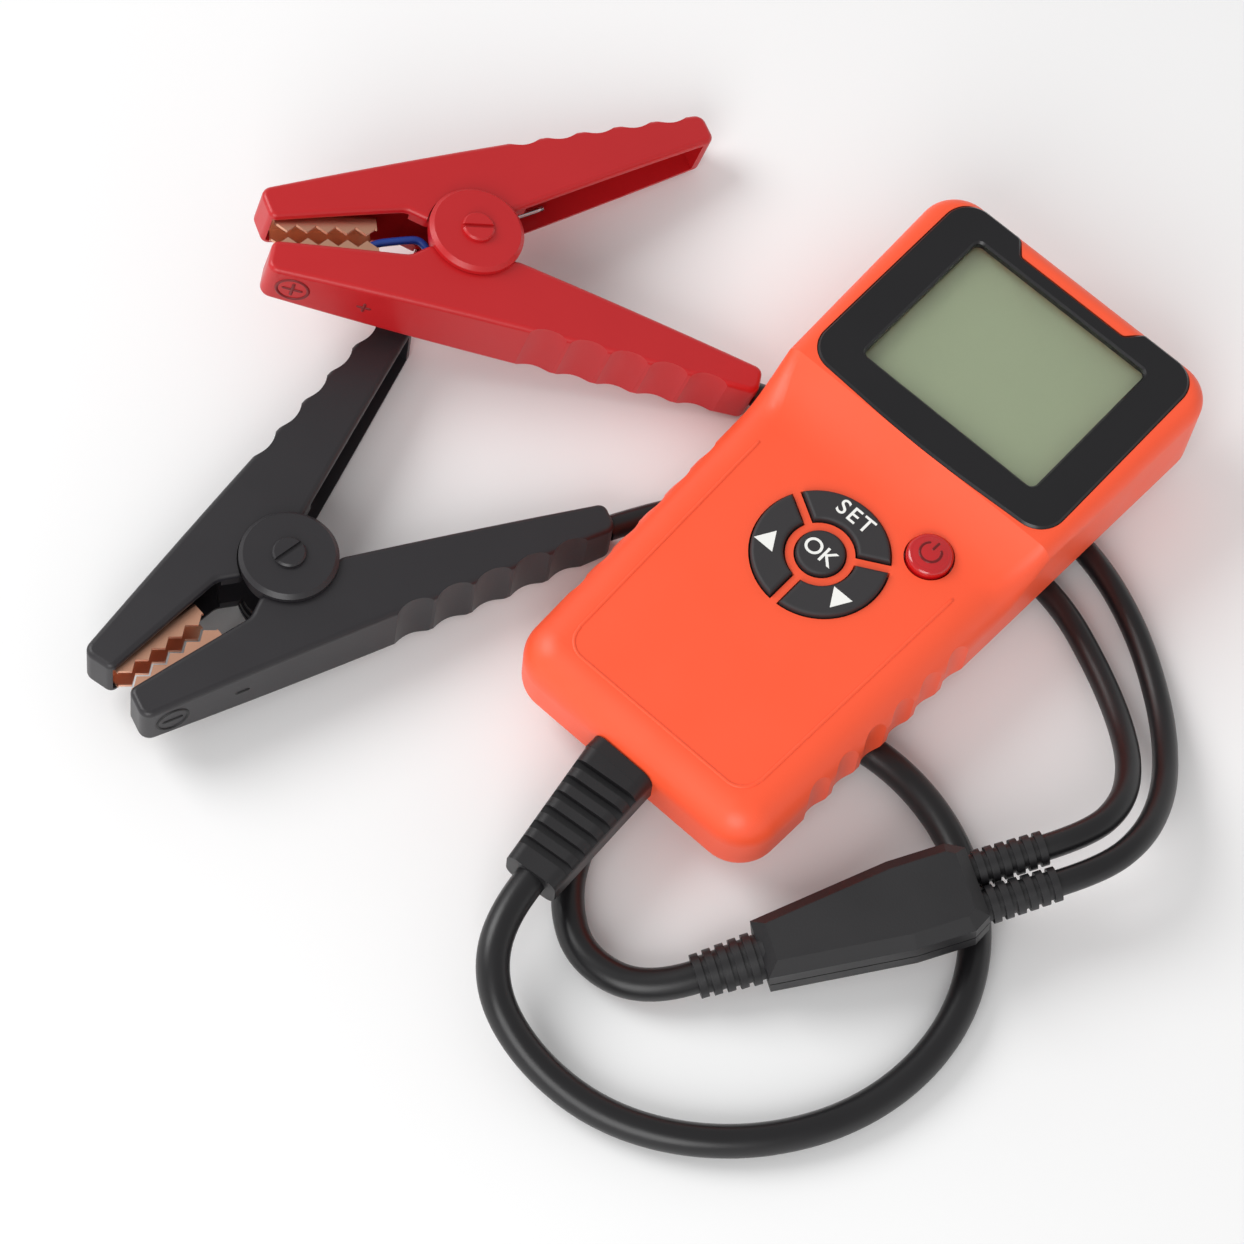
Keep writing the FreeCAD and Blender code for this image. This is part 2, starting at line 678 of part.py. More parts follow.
def fasteners():
    """Four board screws and four case screws, each set one node."""
    level = size("board_level")
    short = size("screw_radius") * 0.72 - size("pivot_gap")
    board = [screw(x, y, level - 1.2, 2.2, 1.2, short, ROOF - 0.5) for x, y in LOW_POSTS + HIGH_POSTS]
    feature("board_screws", Part.makeCompound(board), TESTER)
    shank = size("screw_radius") - size("pivot_gap")
    case = [screw(x, y, 0.9, size("screw_head"), 1.7, shank, ROOF - 3) for x, y in CASE_SCREWS]
    feature("case_screws", Part.makeCompound(case), TESTER)


fasteners()


# Cables


def lozenge(width, thickness, y):
    """Rounded section of the strain relief at one station."""
    corner = min(width, thickness) * 0.28
    outline = [
        (-width / 2, -thickness / 2, corner),
        (width / 2, -thickness / 2, corner),
        (width / 2, thickness / 2, corner),
        (-width / 2, thickness / 2, corner),
    ]
    wire = Part.Wire([edge.toShape() for edge in rounded(outline)])
    wire.Placement = Placement(Vector(0, y, 0), Rotation(Vector(1, 0, 0), 90))
    return wire


ROOT_STEP = 3.0
BEND_POINT = Vector(0, -TOP - ROOT_STEP / 2, REAR)
RELIEF_TURN = Placement(BEND_POINT, Rotation(Vector(0, 0, 1), size("relief_yaw")))
RELIEF_RUN = size("relief_length") - ROOT_STEP / 2


def strain_relief():
    """Slotted boot: collar on the wall, neck and flange inside it, and a flexed ladder of bars."""
    width = size("relief_width")
    thick = size("relief_thickness")
    collar = Part.makeLoft([lozenge(width, thick, 0), lozenge(width, thick, -ROOT_STEP)], True, True)
    collar.translate(Vector(0, -TOP, REAR))
    tongue = Part.makeLoft(
        [lozenge(width, thick, 0), lozenge(size("relief_tip"), size("relief_end"), -RELIEF_RUN)], True, True
    )
    bars = int(size("relief_bars"))
    start = ROOT_STEP * 0.8
    pitch = (RELIEF_RUN - start) / bars
    core = 2 * size("main_radius") - 0.6
    slots = []
    for i in range(bars - 1):
        y = -start - (i + 1) * pitch
        for z in (core / 2, -core / 2 - thick):
            slots.append(Part.makeBox(2 * width, size("relief_slot"), thick, Vector(-width, y, z)))
    tongue = tongue.cut(slots).Solids[0]
    tongue.Placement = RELIEF_TURN
    inside = -TOP + WALL + 2 * size("fit_gap") + size("lip_thickness")
    flange_width = size("neck_width") + 4
    flange_height = size("neck_thickness") + 2.4
    flange = Part.makeBox(
        flange_width, WALL, flange_height, Vector(-flange_width / 2, inside, REAR - flange_height / 2)
    )
    neck = neck_block(0).common(Part.makeBox(200, inside + WALL + TOP + WALL, 200, Vector(-100, -TOP - WALL, -100)))
    return joined([collar, tongue, neck, flange])


feature("strain_relief", strain_relief(), TESTER)


def tube(label, points, radius):
    """Round cord along straight runs joined by tangent arcs.

    Each arc's radius is 0.45 of the shorter neighbouring run over the tangent of half the turn,
    so arcs never meet and every run keeps a straight stretch.
    """
    edges = []
    radii = []
    last = points[0]
    for i in range(1, len(points) - 1):
        point = points[i]
        back = points[i - 1] - point
        ahead = points[i + 1] - point
        reach = 0.45 * min(back.Length, ahead.Length)
        back.normalize()
        ahead.normalize()
        turn = math.pi - back.getAngle(ahead)
        bend = reach / math.tan(turn / 2)
        start = point + back * reach
        end = point + ahead * reach
        inward = (back + ahead).normalize()
        middle = point + inward * (bend / math.cos(turn / 2) - bend)
        edges.append(Part.LineSegment(last, start).toShape())
        edges.append(Part.Arc(start, middle, end).toShape())
        radii.append(bend)
        last = end
    edges.append(Part.LineSegment(last, points[-1]).toShape())
    path = Part.Wire(edges)
    ring = Part.Wire([Part.makeCircle(radius, points[0], points[1] - points[0])])
    solid = path.makePipeShell([ring], True, False)
    expected = math.pi * radius**2 * path.Length
    print(
        "%s: length %.1f, radii %s, volume ratio %.4f"
        % (label, path.Length, " ".join("%.0f" % r for r in radii), solid.Volume / expected)
    )
    return solid


SPLITTER = Placement(
    Vector(size("splitter_x"), size("splitter_y"), size("splitter_z")),
    Rotation(Vector(0, 0, 1), size("splitter_yaw")) * Rotation(Vector(0, 1, 0), -size("splitter_pitch")),
)


def collar(length, root, tip, ribs):
    """Ribbed collar turned about X, its ribs shrinking from root to tip."""
    profile = [Vector(-1.0, 0, 0), Vector(-1.0, root, 0)]
    pitch = length / ribs
    for i in range(ribs):
        radius = root + (tip - root) * i / (ribs - 1)
        x = i * pitch
        profile.append(Vector(x, radius - 0.7, 0))
        profile.append(Vector(x + pitch * 0.4, radius - 0.7, 0))
        profile.append(Vector(x + pitch * 0.4, radius, 0))
        profile.append(Vector(x + pitch, radius, 0))
    profile.append(Vector(length, 0, 0))
    profile.append(profile[0])
    return Part.Face(Part.makePolygon(profile)).revolve(Vector(0, 0, 0), Vector(1, 0, 0), 360)


def cable_splitter():
    """Moulded Y block with bevelled edges, a mid-plane seam, one inlet and two outlet collars."""
    end = size("splitter_length") / 2
    thin = size("splitter_inlet") / 2
    broad = size("splitter_outlet") / 2
    rise = size("splitter_height") / 2

    def outline(grow):
        return [
            (-end - grow, -thin - grow, 0),
            (end * 0.3, -broad - grow, 0),
            (end * 0.84, -broad - grow, 0),
            (end + grow, -broad * 0.78 - grow, 0),
            (end + grow, broad * 0.78 + grow, 0),
            (end * 0.84, broad + grow, 0),
            (end * 0.3, broad + grow, 0),
            (-end - grow, thin + grow, 0),
        ]

    block = prism(outline(0), -rise, rise)
    rims = [e for e in block.Edges if abs(abs(e.BoundBox.Center.z) - rise) < 1e-4]
    block = block.makeChamfer(size("splitter_bevel"), rims)
    seam = prism(outline(2), -0.25, 0.25).cut(prism(outline(-0.35), -1, 1))
    length = size("collar_length")
    inlet = collar(length, size("main_radius") + 2.0, size("main_radius") + 1.2, 5)
    inlet.Placement = Placement(Vector(-end, 0, 0), Rotation(Vector(0, 0, 1), 180))
    outlets = []
    for side in (-1, 1):
        outlet = collar(length + 2, size("lead_radius") + 1.25, size("lead_radius") + 0.9, 6)
        outlet.translate(Vector(end, side * size("outlet_spacing") / 2, 0))
        outlets.append(outlet)
    return joined([block.cut(seam), inlet] + outlets)


feature("cable_splitter", cable_splitter(), SPLITTER)

INLET_REACH = -size("splitter_length") / 2 - size("collar_length")
OUTLET_REACH = size("splitter_length") / 2 + size("collar_length") + 2


def on_splitter(x, y):
    """Point on the splitter's middle plane, in the shared frame."""
    return SPLITTER.multVec(Vector(x, y, 0))


def main_cable():
    """Cable from the tester's boot round its loop to the splitter's inlet."""
    tip = TESTER.multVec(RELIEF_TURN.multVec(Vector(0, -RELIEF_RUN, 0)))
    lead_out = TESTER.multVec(RELIEF_TURN.multVec(Vector(0, -RELIEF_RUN - 11, 0)))
    loop = [
        (66.0, -97.6, 12.0),
        (79.5, -101.6, 6.6),
        (96.5, -100.6, 3.7),
        (112.5, -94.0, 3.6),
        (126.5, -82.0, 3.6),
        (136.5, -66.0, 3.6),
        (140.5, -48.0, 3.6),
        (138.0, -30.0, 3.6),
        (128.5, -14.5, 3.6),
        (113.0, -3.6, 3.6),
        (94.5, 0.8, 3.6),
        (76.0, -2.0, 3.6),
        (62.0, -12.0, 3.6),
        (54.6, -27.5, 3.6),
        (53.2, -44.0, 3.6),
        (55.6, -59.0, 3.6),
        (62.4, -70.6, 3.6),
        (73.6, -77.8, 3.8),
    ]
    points = [tip, lead_out] + [Vector(*p) for p in loop]
    points += [on_splitter(INLET_REACH - 11, 0), on_splitter(INLET_REACH, 0)]
    return tube("main_cable", points, size("main_radius"))


feature("main_cable", main_cable(), Placement())


# Clamps


def clamp_place(colour):
    """Where a clamp's pivot is and how it lies."""
    spin = Rotation(Vector(0, 0, 1), size(colour + "_yaw"))
    tilt = Rotation(Vector(0, 1, 0), size(colour + "_pitch"))
    return Placement(Vector(size(colour + "_x"), size(colour + "_y"), size(colour + "_z")), spin * tilt)


NOSE = size("nose_reach")
NOSE_EDGE = 10.3
JAW_EDGE = 2.8
THROAT_X = 15.0
THROAT_Y = 5.6
HUB_START = (9.6, 6.6)
HUB_CUT = size("lug_radius") + 2 * size("lug_gap")
JOGGLE = HUB_CUT + 4
LUG_TOP = size("arm_thickness") / 2 - size("cheek") - 0.4
LUG_LOW = LUG_TOP - 1.55
SLOPE = math.tan(math.radians(size("arm_slope")))
HANDLE = math.radians(size("handle_slope"))
ALONG = Vector(math.cos(HANDLE), math.sin(HANDLE), 0)
ACROSS = Vector(-math.sin(HANDLE), math.cos(HANDLE), 0)


def outer_edge(x, inset):
    """Outer edge of an arm at x, drawn in by an inset."""
    return NOSE_EDGE + (x + NOSE) * SLOPE - inset * math.sqrt(1 + SLOPE**2)


def handle_end(extra, inset):
    """Inner and outer corner of a handle's square end."""
    inner = Vector(size("handle_reach"), 29.4, 0) + ALONG * (extra - inset)
    gap = outer_edge(inner.x, 0) - inner.y
    width = gap / (ACROSS.y - ACROSS.x * SLOPE)
    return inner, inner + ACROSS * width


def crown(inset):
    """Slab that limits the arms' thickness: full at the pivot, thinner to nose and handle ends."""
    nose = -NOSE - 3
    tail = size("handle_reach") + 8
    middle = size("arm_thickness") / 2 - inset
    top = [Vector(nose, -60, size("nose_thickness") / 2 - inset)]
    top += [Vector(4, -60, middle), Vector(tail, -60, size("tail_thickness") / 2 - inset)]
    low = [Vector(p.x, p.y, -p.z) for p in top]
    edges = [
        Part.Arc(top[0], top[1], top[2]),
        Part.LineSegment(top[2], low[2]),
        Part.Arc(low[2], low[1], low[0]),
        Part.LineSegment(low[0], top[0]),
    ]
    face = Part.Face(Part.Wire([edge.toShape() for edge in edges]))
    return face.extrude(Vector(0, 120, 0))


def disc(radius, low, high):
    """A disc about the pivot and its mirror image below the middle plane."""
    return [rod(0, 0, radius, low, high), rod(0, 0, radius, -high, -low)]


def arm_outline(extra):
    """Profile of an arm, the same for both arms apart from the handle's length."""
    inner, outer = handle_end(extra, 0)
    return [
        (-NOSE, NOSE_EDGE, 2.5),
        (-NOSE + 2, JAW_EDGE, 1.8),
        (-THROAT_X, THROAT_Y, 4.0),
        (-lug_edge(), 3.2, 2.0),
        (HUB_START[0], HUB_START[1], 3.0),
        (inner.x, inner.y, 2.0),
        (outer.x, outer.y, 2.4),
    ]


def lug_edge():
    """Where the throat's edge meets the pivot."""
    return size("lug_radius") + 0.4


def arm_blank(extra):
    """Solid arm, crowned, its outside edges rounded, with the grip scallops."""
    blank = prism(arm_outline(extra), -20, 20).common(crown(0)).Solids[0]
    rims = [e for e in blank.Edges if abs(e.CenterOfMass.z) > size("cheek")]
    blank = blank.makeFillet(0.75 * size("cheek"), rims)
    flutes = []
    for i in range(5):
        x = 12.5 + 9.0 * i
        flutes.append(rod(x, outer_edge(x, 0) + 6.0, 7.2, -20, 20))
    return blank.cut(flutes).Solids[0]


def hollow(extra):
    """Room inside an arm, open along its inner edge."""
    inner, outer = handle_end(extra, 3.0)
    wall = size("web")
    near = -NOSE + 1.9
    corners = [
        (near, outer_edge(near, wall), 0.5),
        (near + 1.9, -7.0, 0),
        (20.0, -7.0, 0),
        (inner.x + ACROSS.x * -14, inner.y + ACROSS.y * -14, 0),
        (outer.x + 0.8, outer_edge(outer.x + 0.8, wall), 1.0),
    ]
    return prism(corners, -20, 20).common(crown(size("cheek")))


def spring_end(distance, offset):
    """Point beside the spring's moving leg: distance along it, offset to its outside."""
    angle = math.radians(size("leg_slope"))
    u = Vector(math.cos(angle), math.sin(angle), 0)
    n = Vector(-math.sin(angle), math.cos(angle), 0)
    return n * (size("coil_radius") + offset) + u * distance


def inner_ribs(inside):
    """Saddle behind the copper jaw and the post that the spring's leg pushes on."""
    back = size("bite_gap") + size("jaw_depth") + size("fit_gap")
    saddle = Part.makeBox(14, 6, 4, Vector(-NOSE + 7, back, -2))
    post_radius = 1.6
    seat = spring_end(size("leg_length") * 0.8, size("wire_radius") + 0.1 + post_radius)
    post = rod(seat.x, seat.y, post_radius, -20, 20)
    return [saddle.common(inside), post.common(inside)]


def arm(moving):
    """One arm of a clamp: a crowned U channel with cheeks that carry the pivot lugs."""
    extra = 0.0 if moving else size("fixed_extra")
    blank = arm_blank(extra)
    shell = blank.cut(hollow(extra))
    ribs = inner_ribs(blank)
    bore = rod(0, 0, size("pivot_radius") + size("pivot_gap"), -20, 20)
    if moving:
        clear = rod(0, 0, HUB_CUT, -20, 20)
        around = blank.common(rod(0, 0, JOGGLE, -20, 20))
        ring = around.cut(clear)
        step = ring.common(Part.makeBox(80, 80, 20, Vector(-40, -40, LUG_LOW)))
        under = ring.common(Part.makeBox(80, 80, 20, Vector(-40, -40, -LUG_LOW - 20)))
        lugs = []
        for plate in disc(size("lug_radius"), LUG_LOW, LUG_TOP):
            lugs.append(plate)
        for plate in disc(JOGGLE - 1, LUG_LOW, LUG_TOP):
            lugs.append(plate.common(prism(arm_outline(extra), -20, 20)))
        return joined([shell.cut(clear), step, under] + ribs + lugs).cut(bore).Solids[0]
    half = size("arm_thickness") / 2
    lugs = disc(size("lug_radius") + size("lug_gap"), half - size("cheek"), half - 0.02)
    whole = joined([shell] + ribs + lugs).cut(bore).Solids[0]
    return whole.mirror(Vector(0, 0, 0), Vector(0, 1, 0))


def jaw(moving):
    """Copper jaw: a folded channel with teeth along both free edges."""
    start = -NOSE + 3.3
    length = size("jaw_length")
    half = size("jaw_width") / 2
    sheet = size("jaw_sheet")
    tip = size("bite_gap")
    back = tip + size("jaw_depth")
    block = Part.makeBox(length, back - tip, 2 * half, Vector(start, tip, -half))
    room = Part.makeBox(length + 2, back - tip, 2 * (half - sheet), Vector(start - 1, tip - sheet, -half + sheet))
    rims = [e for e in block.Edges if abs(e.BoundBox.Center.y - back) < 1e-4 and e.BoundBox.XLength > 1]
    block = block.makeFillet(sheet, rims).cut(room)
    pitch = size("tooth_pitch")
    deep = size("tooth_depth")
    notches = []
    count = int(length / pitch)
    for i in range(count + 1):
        x = start + i * pitch + 0.3
        corners = [(x - pitch / 2, tip - 0.01, 0), (x + pitch / 2, tip - 0.01, 0), (x, tip + deep, 0)]
        notches.append(prism(corners, -10, 10))
    channel = block.cut(notches).Solids[0]
    return channel if moving else channel.mirror(Vector(0, 0, 0), Vector(0, 1, 0))


def pivot_pin():
    """Shouldered pin with a slotted head."""
    top = size("arm_thickness") / 2 + 0.1 + size("cap_thickness")
    shank = rod(0, 0, size("pivot_radius"), -top + 0.2, top + 0.1)
    head = rod(0, 0, size("pin_head"), top, top + 1.1)
    rim = [e for e in head.Edges if e.BoundBox.ZMin > top + 1]
    head = head.makeChamfer(0.4, rim)
    slot = Part.makeBox(12, 1.0, 2, Vector(-6, -0.5, top + 0.5))
    return joined([shank, head]).cut(slot).Solids[0]


def pivot_caps():
    """Round cover on each side of the pivot."""
    low = size("arm_thickness") / 2 + 0.1
    caps = []
    for plate in disc(size("cap_radius"), low, low + size("cap_thickness")):
        rim = [e for e in plate.Edges if abs(abs(e.BoundBox.Center.z) - low - size("cap_thickness")) < 1e-4]
        plate = plate.makeChamfer(0.9, rim)
        caps.append(plate.cut(rod(0, 0, size("pivot_radius") + size("pivot_gap"), -20, 20)).Solids[0])
    return Part.makeCompound(caps)


def biarc(start, start_way, end, end_way):
    """Two arcs that join two points with given directions."""
    span = end - start
    turn = start_way + end_way
    spread = 2 * (1 - start_way.dot(end_way))
    along = span.dot(turn)
    reach = (-along + math.sqrt(along**2 + spread * span.dot(span))) / spread
    middle = (start + end + (start_way - end_way) * reach) * 0.5
    return [arc_from(start, start_way, middle), arc_from(end, end_way * -1, middle)]


def arc_from(start, way, end):
    """Arc that leaves a point in a given direction and reaches another point."""
    chord = end - start
    side = (chord - way * chord.dot(way)).normalize()
    radius = chord.dot(chord) / (2 * chord.dot(side))
    centre = start + side * radius
    out = ((start + end) * 0.5 - centre).normalize()
    return Part.Arc(start, centre + out * radius, end).toShape()


def torsion_spring():
    """Wound spring with two straight legs, one unbroken tube.

    The coil winds counter-clockwise upwards from the moving leg to the fixed leg; the legs leave
    it along the wire's own direction.
    """
    radius = size("coil_radius")
    slope = size("coil_pitch") / (2 * math.pi)
    first = 90 + size("leg_slope")
    sweep = 360 * int(size("coil_turns")) + 360 - 2 * first
    steps = 5
    rise = slope * math.radians(sweep)
    stations = []
    for i in range(steps + 1):
        angle = math.radians(first + sweep * i / steps)
        point = Vector(radius * math.cos(angle), radius * math.sin(angle), rise * (i / steps - 0.5))
        way = Vector(-radius * math.sin(angle), radius * math.cos(angle), slope).normalize()
        stations.append((point, way))
    start, start_way = stations[0]
    end, end_way = stations[-1]
    edges = [Part.LineSegment(start - start_way * size("leg_length"), start).toShape()]
    for (a, a_way), (b, b_way) in zip(stations, stations[1:]):
        edges += biarc(a, a_way, b, b_way)
    edges.append(Part.LineSegment(end, end + end_way * size("leg_length")).toShape())
    path = Part.Wire(Part.sortEdges(edges)[0])
    tip = start - start_way * size("leg_length")
    ring = Part.Wire([Part.makeCircle(size("wire_radius"), tip, start_way)])
    solid = path.makePipeShell([ring], True, False)
    points = path.discretize(Distance=0.4)
    least = 1e9
    for i, a in enumerate(points):
        for b in points[i + 15 :]:
            least = min(least, a.distanceToPoint(b))
    expected = math.pi * size("wire_radius") ** 2 * path.Length
    print(
        "torsion spring: gap to itself %.2f, volume ratio %.4f"
        % (least - 2 * size("wire_radius"), solid.Volume / expected)
    )
    return solid


def sense_wire():
    """Blue sense wire from the fixed copper jaw back past the pivot."""
    seat = -(size("bite_gap") + size("jaw_depth") - size("jaw_sheet") - size("sense_radius") - 0.05)
    points = [
        Vector(-NOSE + 22, seat, 0),
        Vector(-NOSE + 30, seat - 0.3, 0),
        Vector(-8.0, -7.8, 0),
        Vector(4.0, -12.2, 0),
    ]
    return tube("sense_wire", points, size("sense_radius"))


def clamp(colour):
    """All pieces of one clamp."""
    place = clamp_place(colour)
    feature(colour + "_fixed_arm", arm(False), place)
    feature(colour + "_moving_arm", arm(True), place)
    feature(colour + "_fixed_jaw", jaw(False), place)
    feature(colour + "_moving_jaw", jaw(True), place)
    feature(colour + "_pivot_pin", pivot_pin(), place)
    feature(colour + "_pivot_caps", pivot_caps(), place)
    feature(colour + "_torsion_spring", torsion_spring(), place)
    feature(colour + "_sense_wire", sense_wire(), place)


clamp("red")
clamp("black")


def lead(colour, route, side):
    """Lead from a clamp's fixed handle under the tester to the splitter."""
    place = clamp_place(colour)
    inner, outer = handle_end(size("fixed_extra"), 0)
    middle = (inner + outer) * 0.5
    start = place.multVec(Vector(middle.x, -middle.y, 0))
    second = middle + ALONG * 11
    y = side * size("outlet_spacing") / 2
    points = [start, place.multVec(Vector(second.x, -second.y, 0))]
    points += [Vector(*p) for p in route]
    points += [on_splitter(OUTLET_REACH + 10, y), on_splitter(OUTLET_REACH, y)]
    return tube(colour + "_lead", points, size("lead_radius"))


BLACK_ROUTE = [
    (26.0, 26.0, 2.9),
    (41.0, 42.0, 2.9),
    (59.0, 52.5, 2.9),
    (77.0, 57.0, 2.9),
    (94.0, 55.6, 2.9),
    (109.5, 48.8, 3.4),
    (122.0, 40.5, 6.5),
    (130.8, 31.3, 11.5),
    (135.3, 21.2, 16.3),
]
RED_ROUTE = [
    (35.0, 58.0, 2.9),
    (53.5, 66.5, 2.9),
    (73.0, 71.0, 2.9),
    (92.5, 69.5, 2.9),
    (110.0, 62.2, 2.9),
    (124.5, 51.7, 3.4),
    (134.5, 40.5, 7.0),
    (140.5, 29.5, 12.0),
    (143.2, 18.0, 16.5),
]
feature("black_lead", lead("black", BLACK_ROUTE, 1), Placement())
feature("red_lead", lead("red", RED_ROUTE, -1), Placement())


# Final checks and files


def write_parts():
    """Stops on any fault, then writes one file for each node."""
    doc.recompute()
    for item in doc.Objects:
        if any(word in item.State for word in ("Invalid", "Error")):
            raise RuntimeError("%s: %s" % (item.Name, item.State))
    os.makedirs("parts", exist_ok=True)
    for node in nodes:
        shape = node.Shape
        if shape.isNull() or not shape.isValid() or not shape.Solids:
            raise RuntimeError("no valid solid: " + node.Label)
        shape.exportStep("parts/%s.step" % node.Label)
        print("%-22s solids %d faces %4d volume %10.1f" % (
            node.Label, len(shape.Solids), len(shape.Faces), shape.Volume))
    print("nodes: %d" % len(nodes))


write_parts()
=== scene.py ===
"""Looks of a handheld battery tester with its test cable and two spring clamps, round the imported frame."""

import logging
import math
from dataclasses import dataclass
from enum import Enum

import bmesh
import bpy
import numpy as np
from mathutils import Matrix, Vector


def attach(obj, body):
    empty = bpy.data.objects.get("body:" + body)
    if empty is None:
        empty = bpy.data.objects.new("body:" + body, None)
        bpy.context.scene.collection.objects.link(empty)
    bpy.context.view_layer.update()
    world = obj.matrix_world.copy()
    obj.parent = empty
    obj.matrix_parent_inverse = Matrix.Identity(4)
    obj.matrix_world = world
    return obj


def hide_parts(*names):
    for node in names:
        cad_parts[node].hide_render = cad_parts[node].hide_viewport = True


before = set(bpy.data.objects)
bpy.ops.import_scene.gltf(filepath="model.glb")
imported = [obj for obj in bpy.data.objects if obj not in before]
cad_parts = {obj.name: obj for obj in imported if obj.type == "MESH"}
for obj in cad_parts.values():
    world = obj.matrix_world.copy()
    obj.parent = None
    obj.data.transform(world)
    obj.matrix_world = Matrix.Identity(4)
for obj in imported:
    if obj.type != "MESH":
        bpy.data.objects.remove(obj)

LOG = logging.getLogger("battery_tester")
# A millimetre in metres, how near two points are one point, in metres, and the photograph's width.
MM = 0.001
WELD = 1e-7
PHOTO_PIXELS = 1244
UP = np.array([0.0, 0.0, 1.0])

# Shared by every finish: its clear coat, the noise's detail and middle span, and the brushed stretch.
COAT_ROUGHNESS = 0.12
SMOOTHEST = 0.02
MOTTLE_DETAIL = 3.0
MOTTLE_SPAN = (0.3, 0.7)
GRAIN_DETAIL = 2.0
GRAIN_RELIEF = 0.1 * MM
BRUSHED_STRETCH = (1.0, 14.0, 1.0)
EVEN_STRETCH = (1.0, 1.0, 1.0)


class Body(str, Enum):
    """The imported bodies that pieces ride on."""

    TESTER = "tester"
    SET = "set_button"
    OK = "ok_button"
    UP = "up_button"
    DOWN = "down_button"
    POWER = "power_button"
    RED_ARM = "red_jaw_arm"
    BLACK_ARM = "black_jaw_arm"


class Polarity(str, Enum):
    """Sign moulded on a clamp."""

    PLUS = "plus"
    MINUS = "minus"


def linear(hex_colour: str) -> tuple[float, float, float, float]:
    """Turns an sRGB hex colour into linear light.

    Args:
        hex_colour: Six hex digits with a leading hash.

    Returns:
        Linear red, green, blue and an alpha of 1.
    """
    values = [int(hex_colour[i : i + 2], 16) / 255 for i in (1, 3, 5)]
    light = [v / 12.92 if v <= 0.04045 else ((v + 0.055) / 1.055) ** 2.4 for v in values]
    return light[0], light[1], light[2], 1.0


def add_node(
    tree: bpy.types.NodeTree, kind: str, links: dict[str | int, object] | None = None, **settings: str
) -> bpy.types.Node:
    """Adds a node with its settings and links.

    Args:
        tree: The node tree of a material or a world.
        kind: Blender's name of the node type.
        links: Input name or index to an output socket or a plain value.
        settings: Attributes of the node.

    Returns:
        The new node.
    """
    node = tree.nodes.new(kind)
    for name, value in settings.items():
        setattr(node, name, value)
    for socket, value in (links or {}).items():
        if isinstance(value, bpy.types.NodeSocket):
            tree.links.new(value, node.inputs[socket])
        else:
            node.inputs[socket].default_value = value
    return node


@dataclass(frozen=True)
class Finish:
    """A surface finish: its colour, how it shines, and two scales of moulded or worn detail.

    grain_mm is the pitch of the fine relief and mottle_mm that of the slow change in gloss and tone.
    """

    name: str
    colour: str
    roughness: float
    metallic: float = 0.0
    ior: float = 1.5
    grain_mm: float = 0.5
    grain_depth: float = 0.0
    mottle_mm: float = 18.0
    mottle: float = 0.06
    tone: float = 0.06
    coat: float = 0.0
    transmission: float = 0.0
    brushed: bool = False

    def build(self) -> bpy.types.Material:
        """Makes the material once.

        Returns:
            The material of this finish.
        """
        found = bpy.data.materials.get(self.name)
        if found:
            return found
        material = bpy.data.materials.new(self.name)
        material.use_nodes = True
        tree = material.node_tree
        shader = tree.nodes["Principled BSDF"]
        shader.inputs["Metallic"].default_value = self.metallic
        if not self.metallic:
            shader.inputs["IOR"].default_value = self.ior
        shader.inputs["Coat Weight"].default_value = self.coat
        shader.inputs["Coat Roughness"].default_value = COAT_ROUGHNESS
        shader.inputs["Transmission Weight"].default_value = self.transmission
        place = add_node(tree, "ShaderNodeTexCoord").outputs["Object"]
        slow = add_node(
            tree,
            "ShaderNodeTexNoise",
            {"Vector": place, "Scale": 1 / (self.mottle_mm * MM), "Detail": MOTTLE_DETAIL},
        )
        base = linear(self.colour)
        dark = tuple(c * (1 - self.tone) for c in base[:3]) + (1.0,)
        light = tuple(min(1.0, c * (1 + self.tone)) for c in base[:3]) + (1.0,)
        shade = add_node(
            tree, "ShaderNodeMix", {0: slow.outputs["Fac"], 6: dark, 7: light}, data_type="RGBA"
        )
        tree.links.new(shade.outputs[2], shader.inputs["Base Color"])
        gloss = add_node(
            tree,
            "ShaderNodeMapRange",
            {
                "Value": slow.outputs["Fac"],
                "From Min": MOTTLE_SPAN[0],
                "From Max": MOTTLE_SPAN[1],
                "To Min": max(SMOOTHEST, self.roughness - self.mottle),
                "To Max": min(1.0, self.roughness + self.mottle),
            },
        )
        tree.links.new(gloss.outputs["Result"], shader.inputs["Roughness"])
        if self.grain_depth:
            stretch = BRUSHED_STRETCH if self.brushed else EVEN_STRETCH
            along = add_node(tree, "ShaderNodeMapping", {"Vector": place, "Scale": stretch})
            fine = add_node(
                tree,
                "ShaderNodeTexNoise",
                {
                    "Vector": along.outputs["Vector"],
                    "Scale": 1 / (self.grain_mm * MM),
                    "Detail": GRAIN_DETAIL,
                },
            )
            bump = add_node(
                tree,
                "ShaderNodeBump",
                {"Height": fine.outputs["Fac"], "Strength": self.grain_depth, "Distance": GRAIN_RELIEF},
            )
            tree.links.new(bump.outputs["Normal"], shader.inputs["Normal"])
        return material


# Spark-textured ABS moulding: an even satin with a fine sparkle in its highlight.
ORANGE_ABS = Finish("orange_abs_moulded", "#FF5A34", 0.42, grain_mm=0.35, grain_depth=0.2, tone=0.02)
# Smoother black ABS of the display frame, with a broad soft highlight.
BLACK_ABS = Finish("black_abs_satin", "#111013", 0.32, grain_mm=0.4, grain_depth=0.06, mottle=0.03, tone=0.05)
# Hard-coated acrylic pane.
LENS_ACRYLIC = Finish(
    "clear_acrylic_pane", "#F4F8F2", 0.04, ior=1.49, mottle=0.01, tone=0.01, transmission=1.0
)
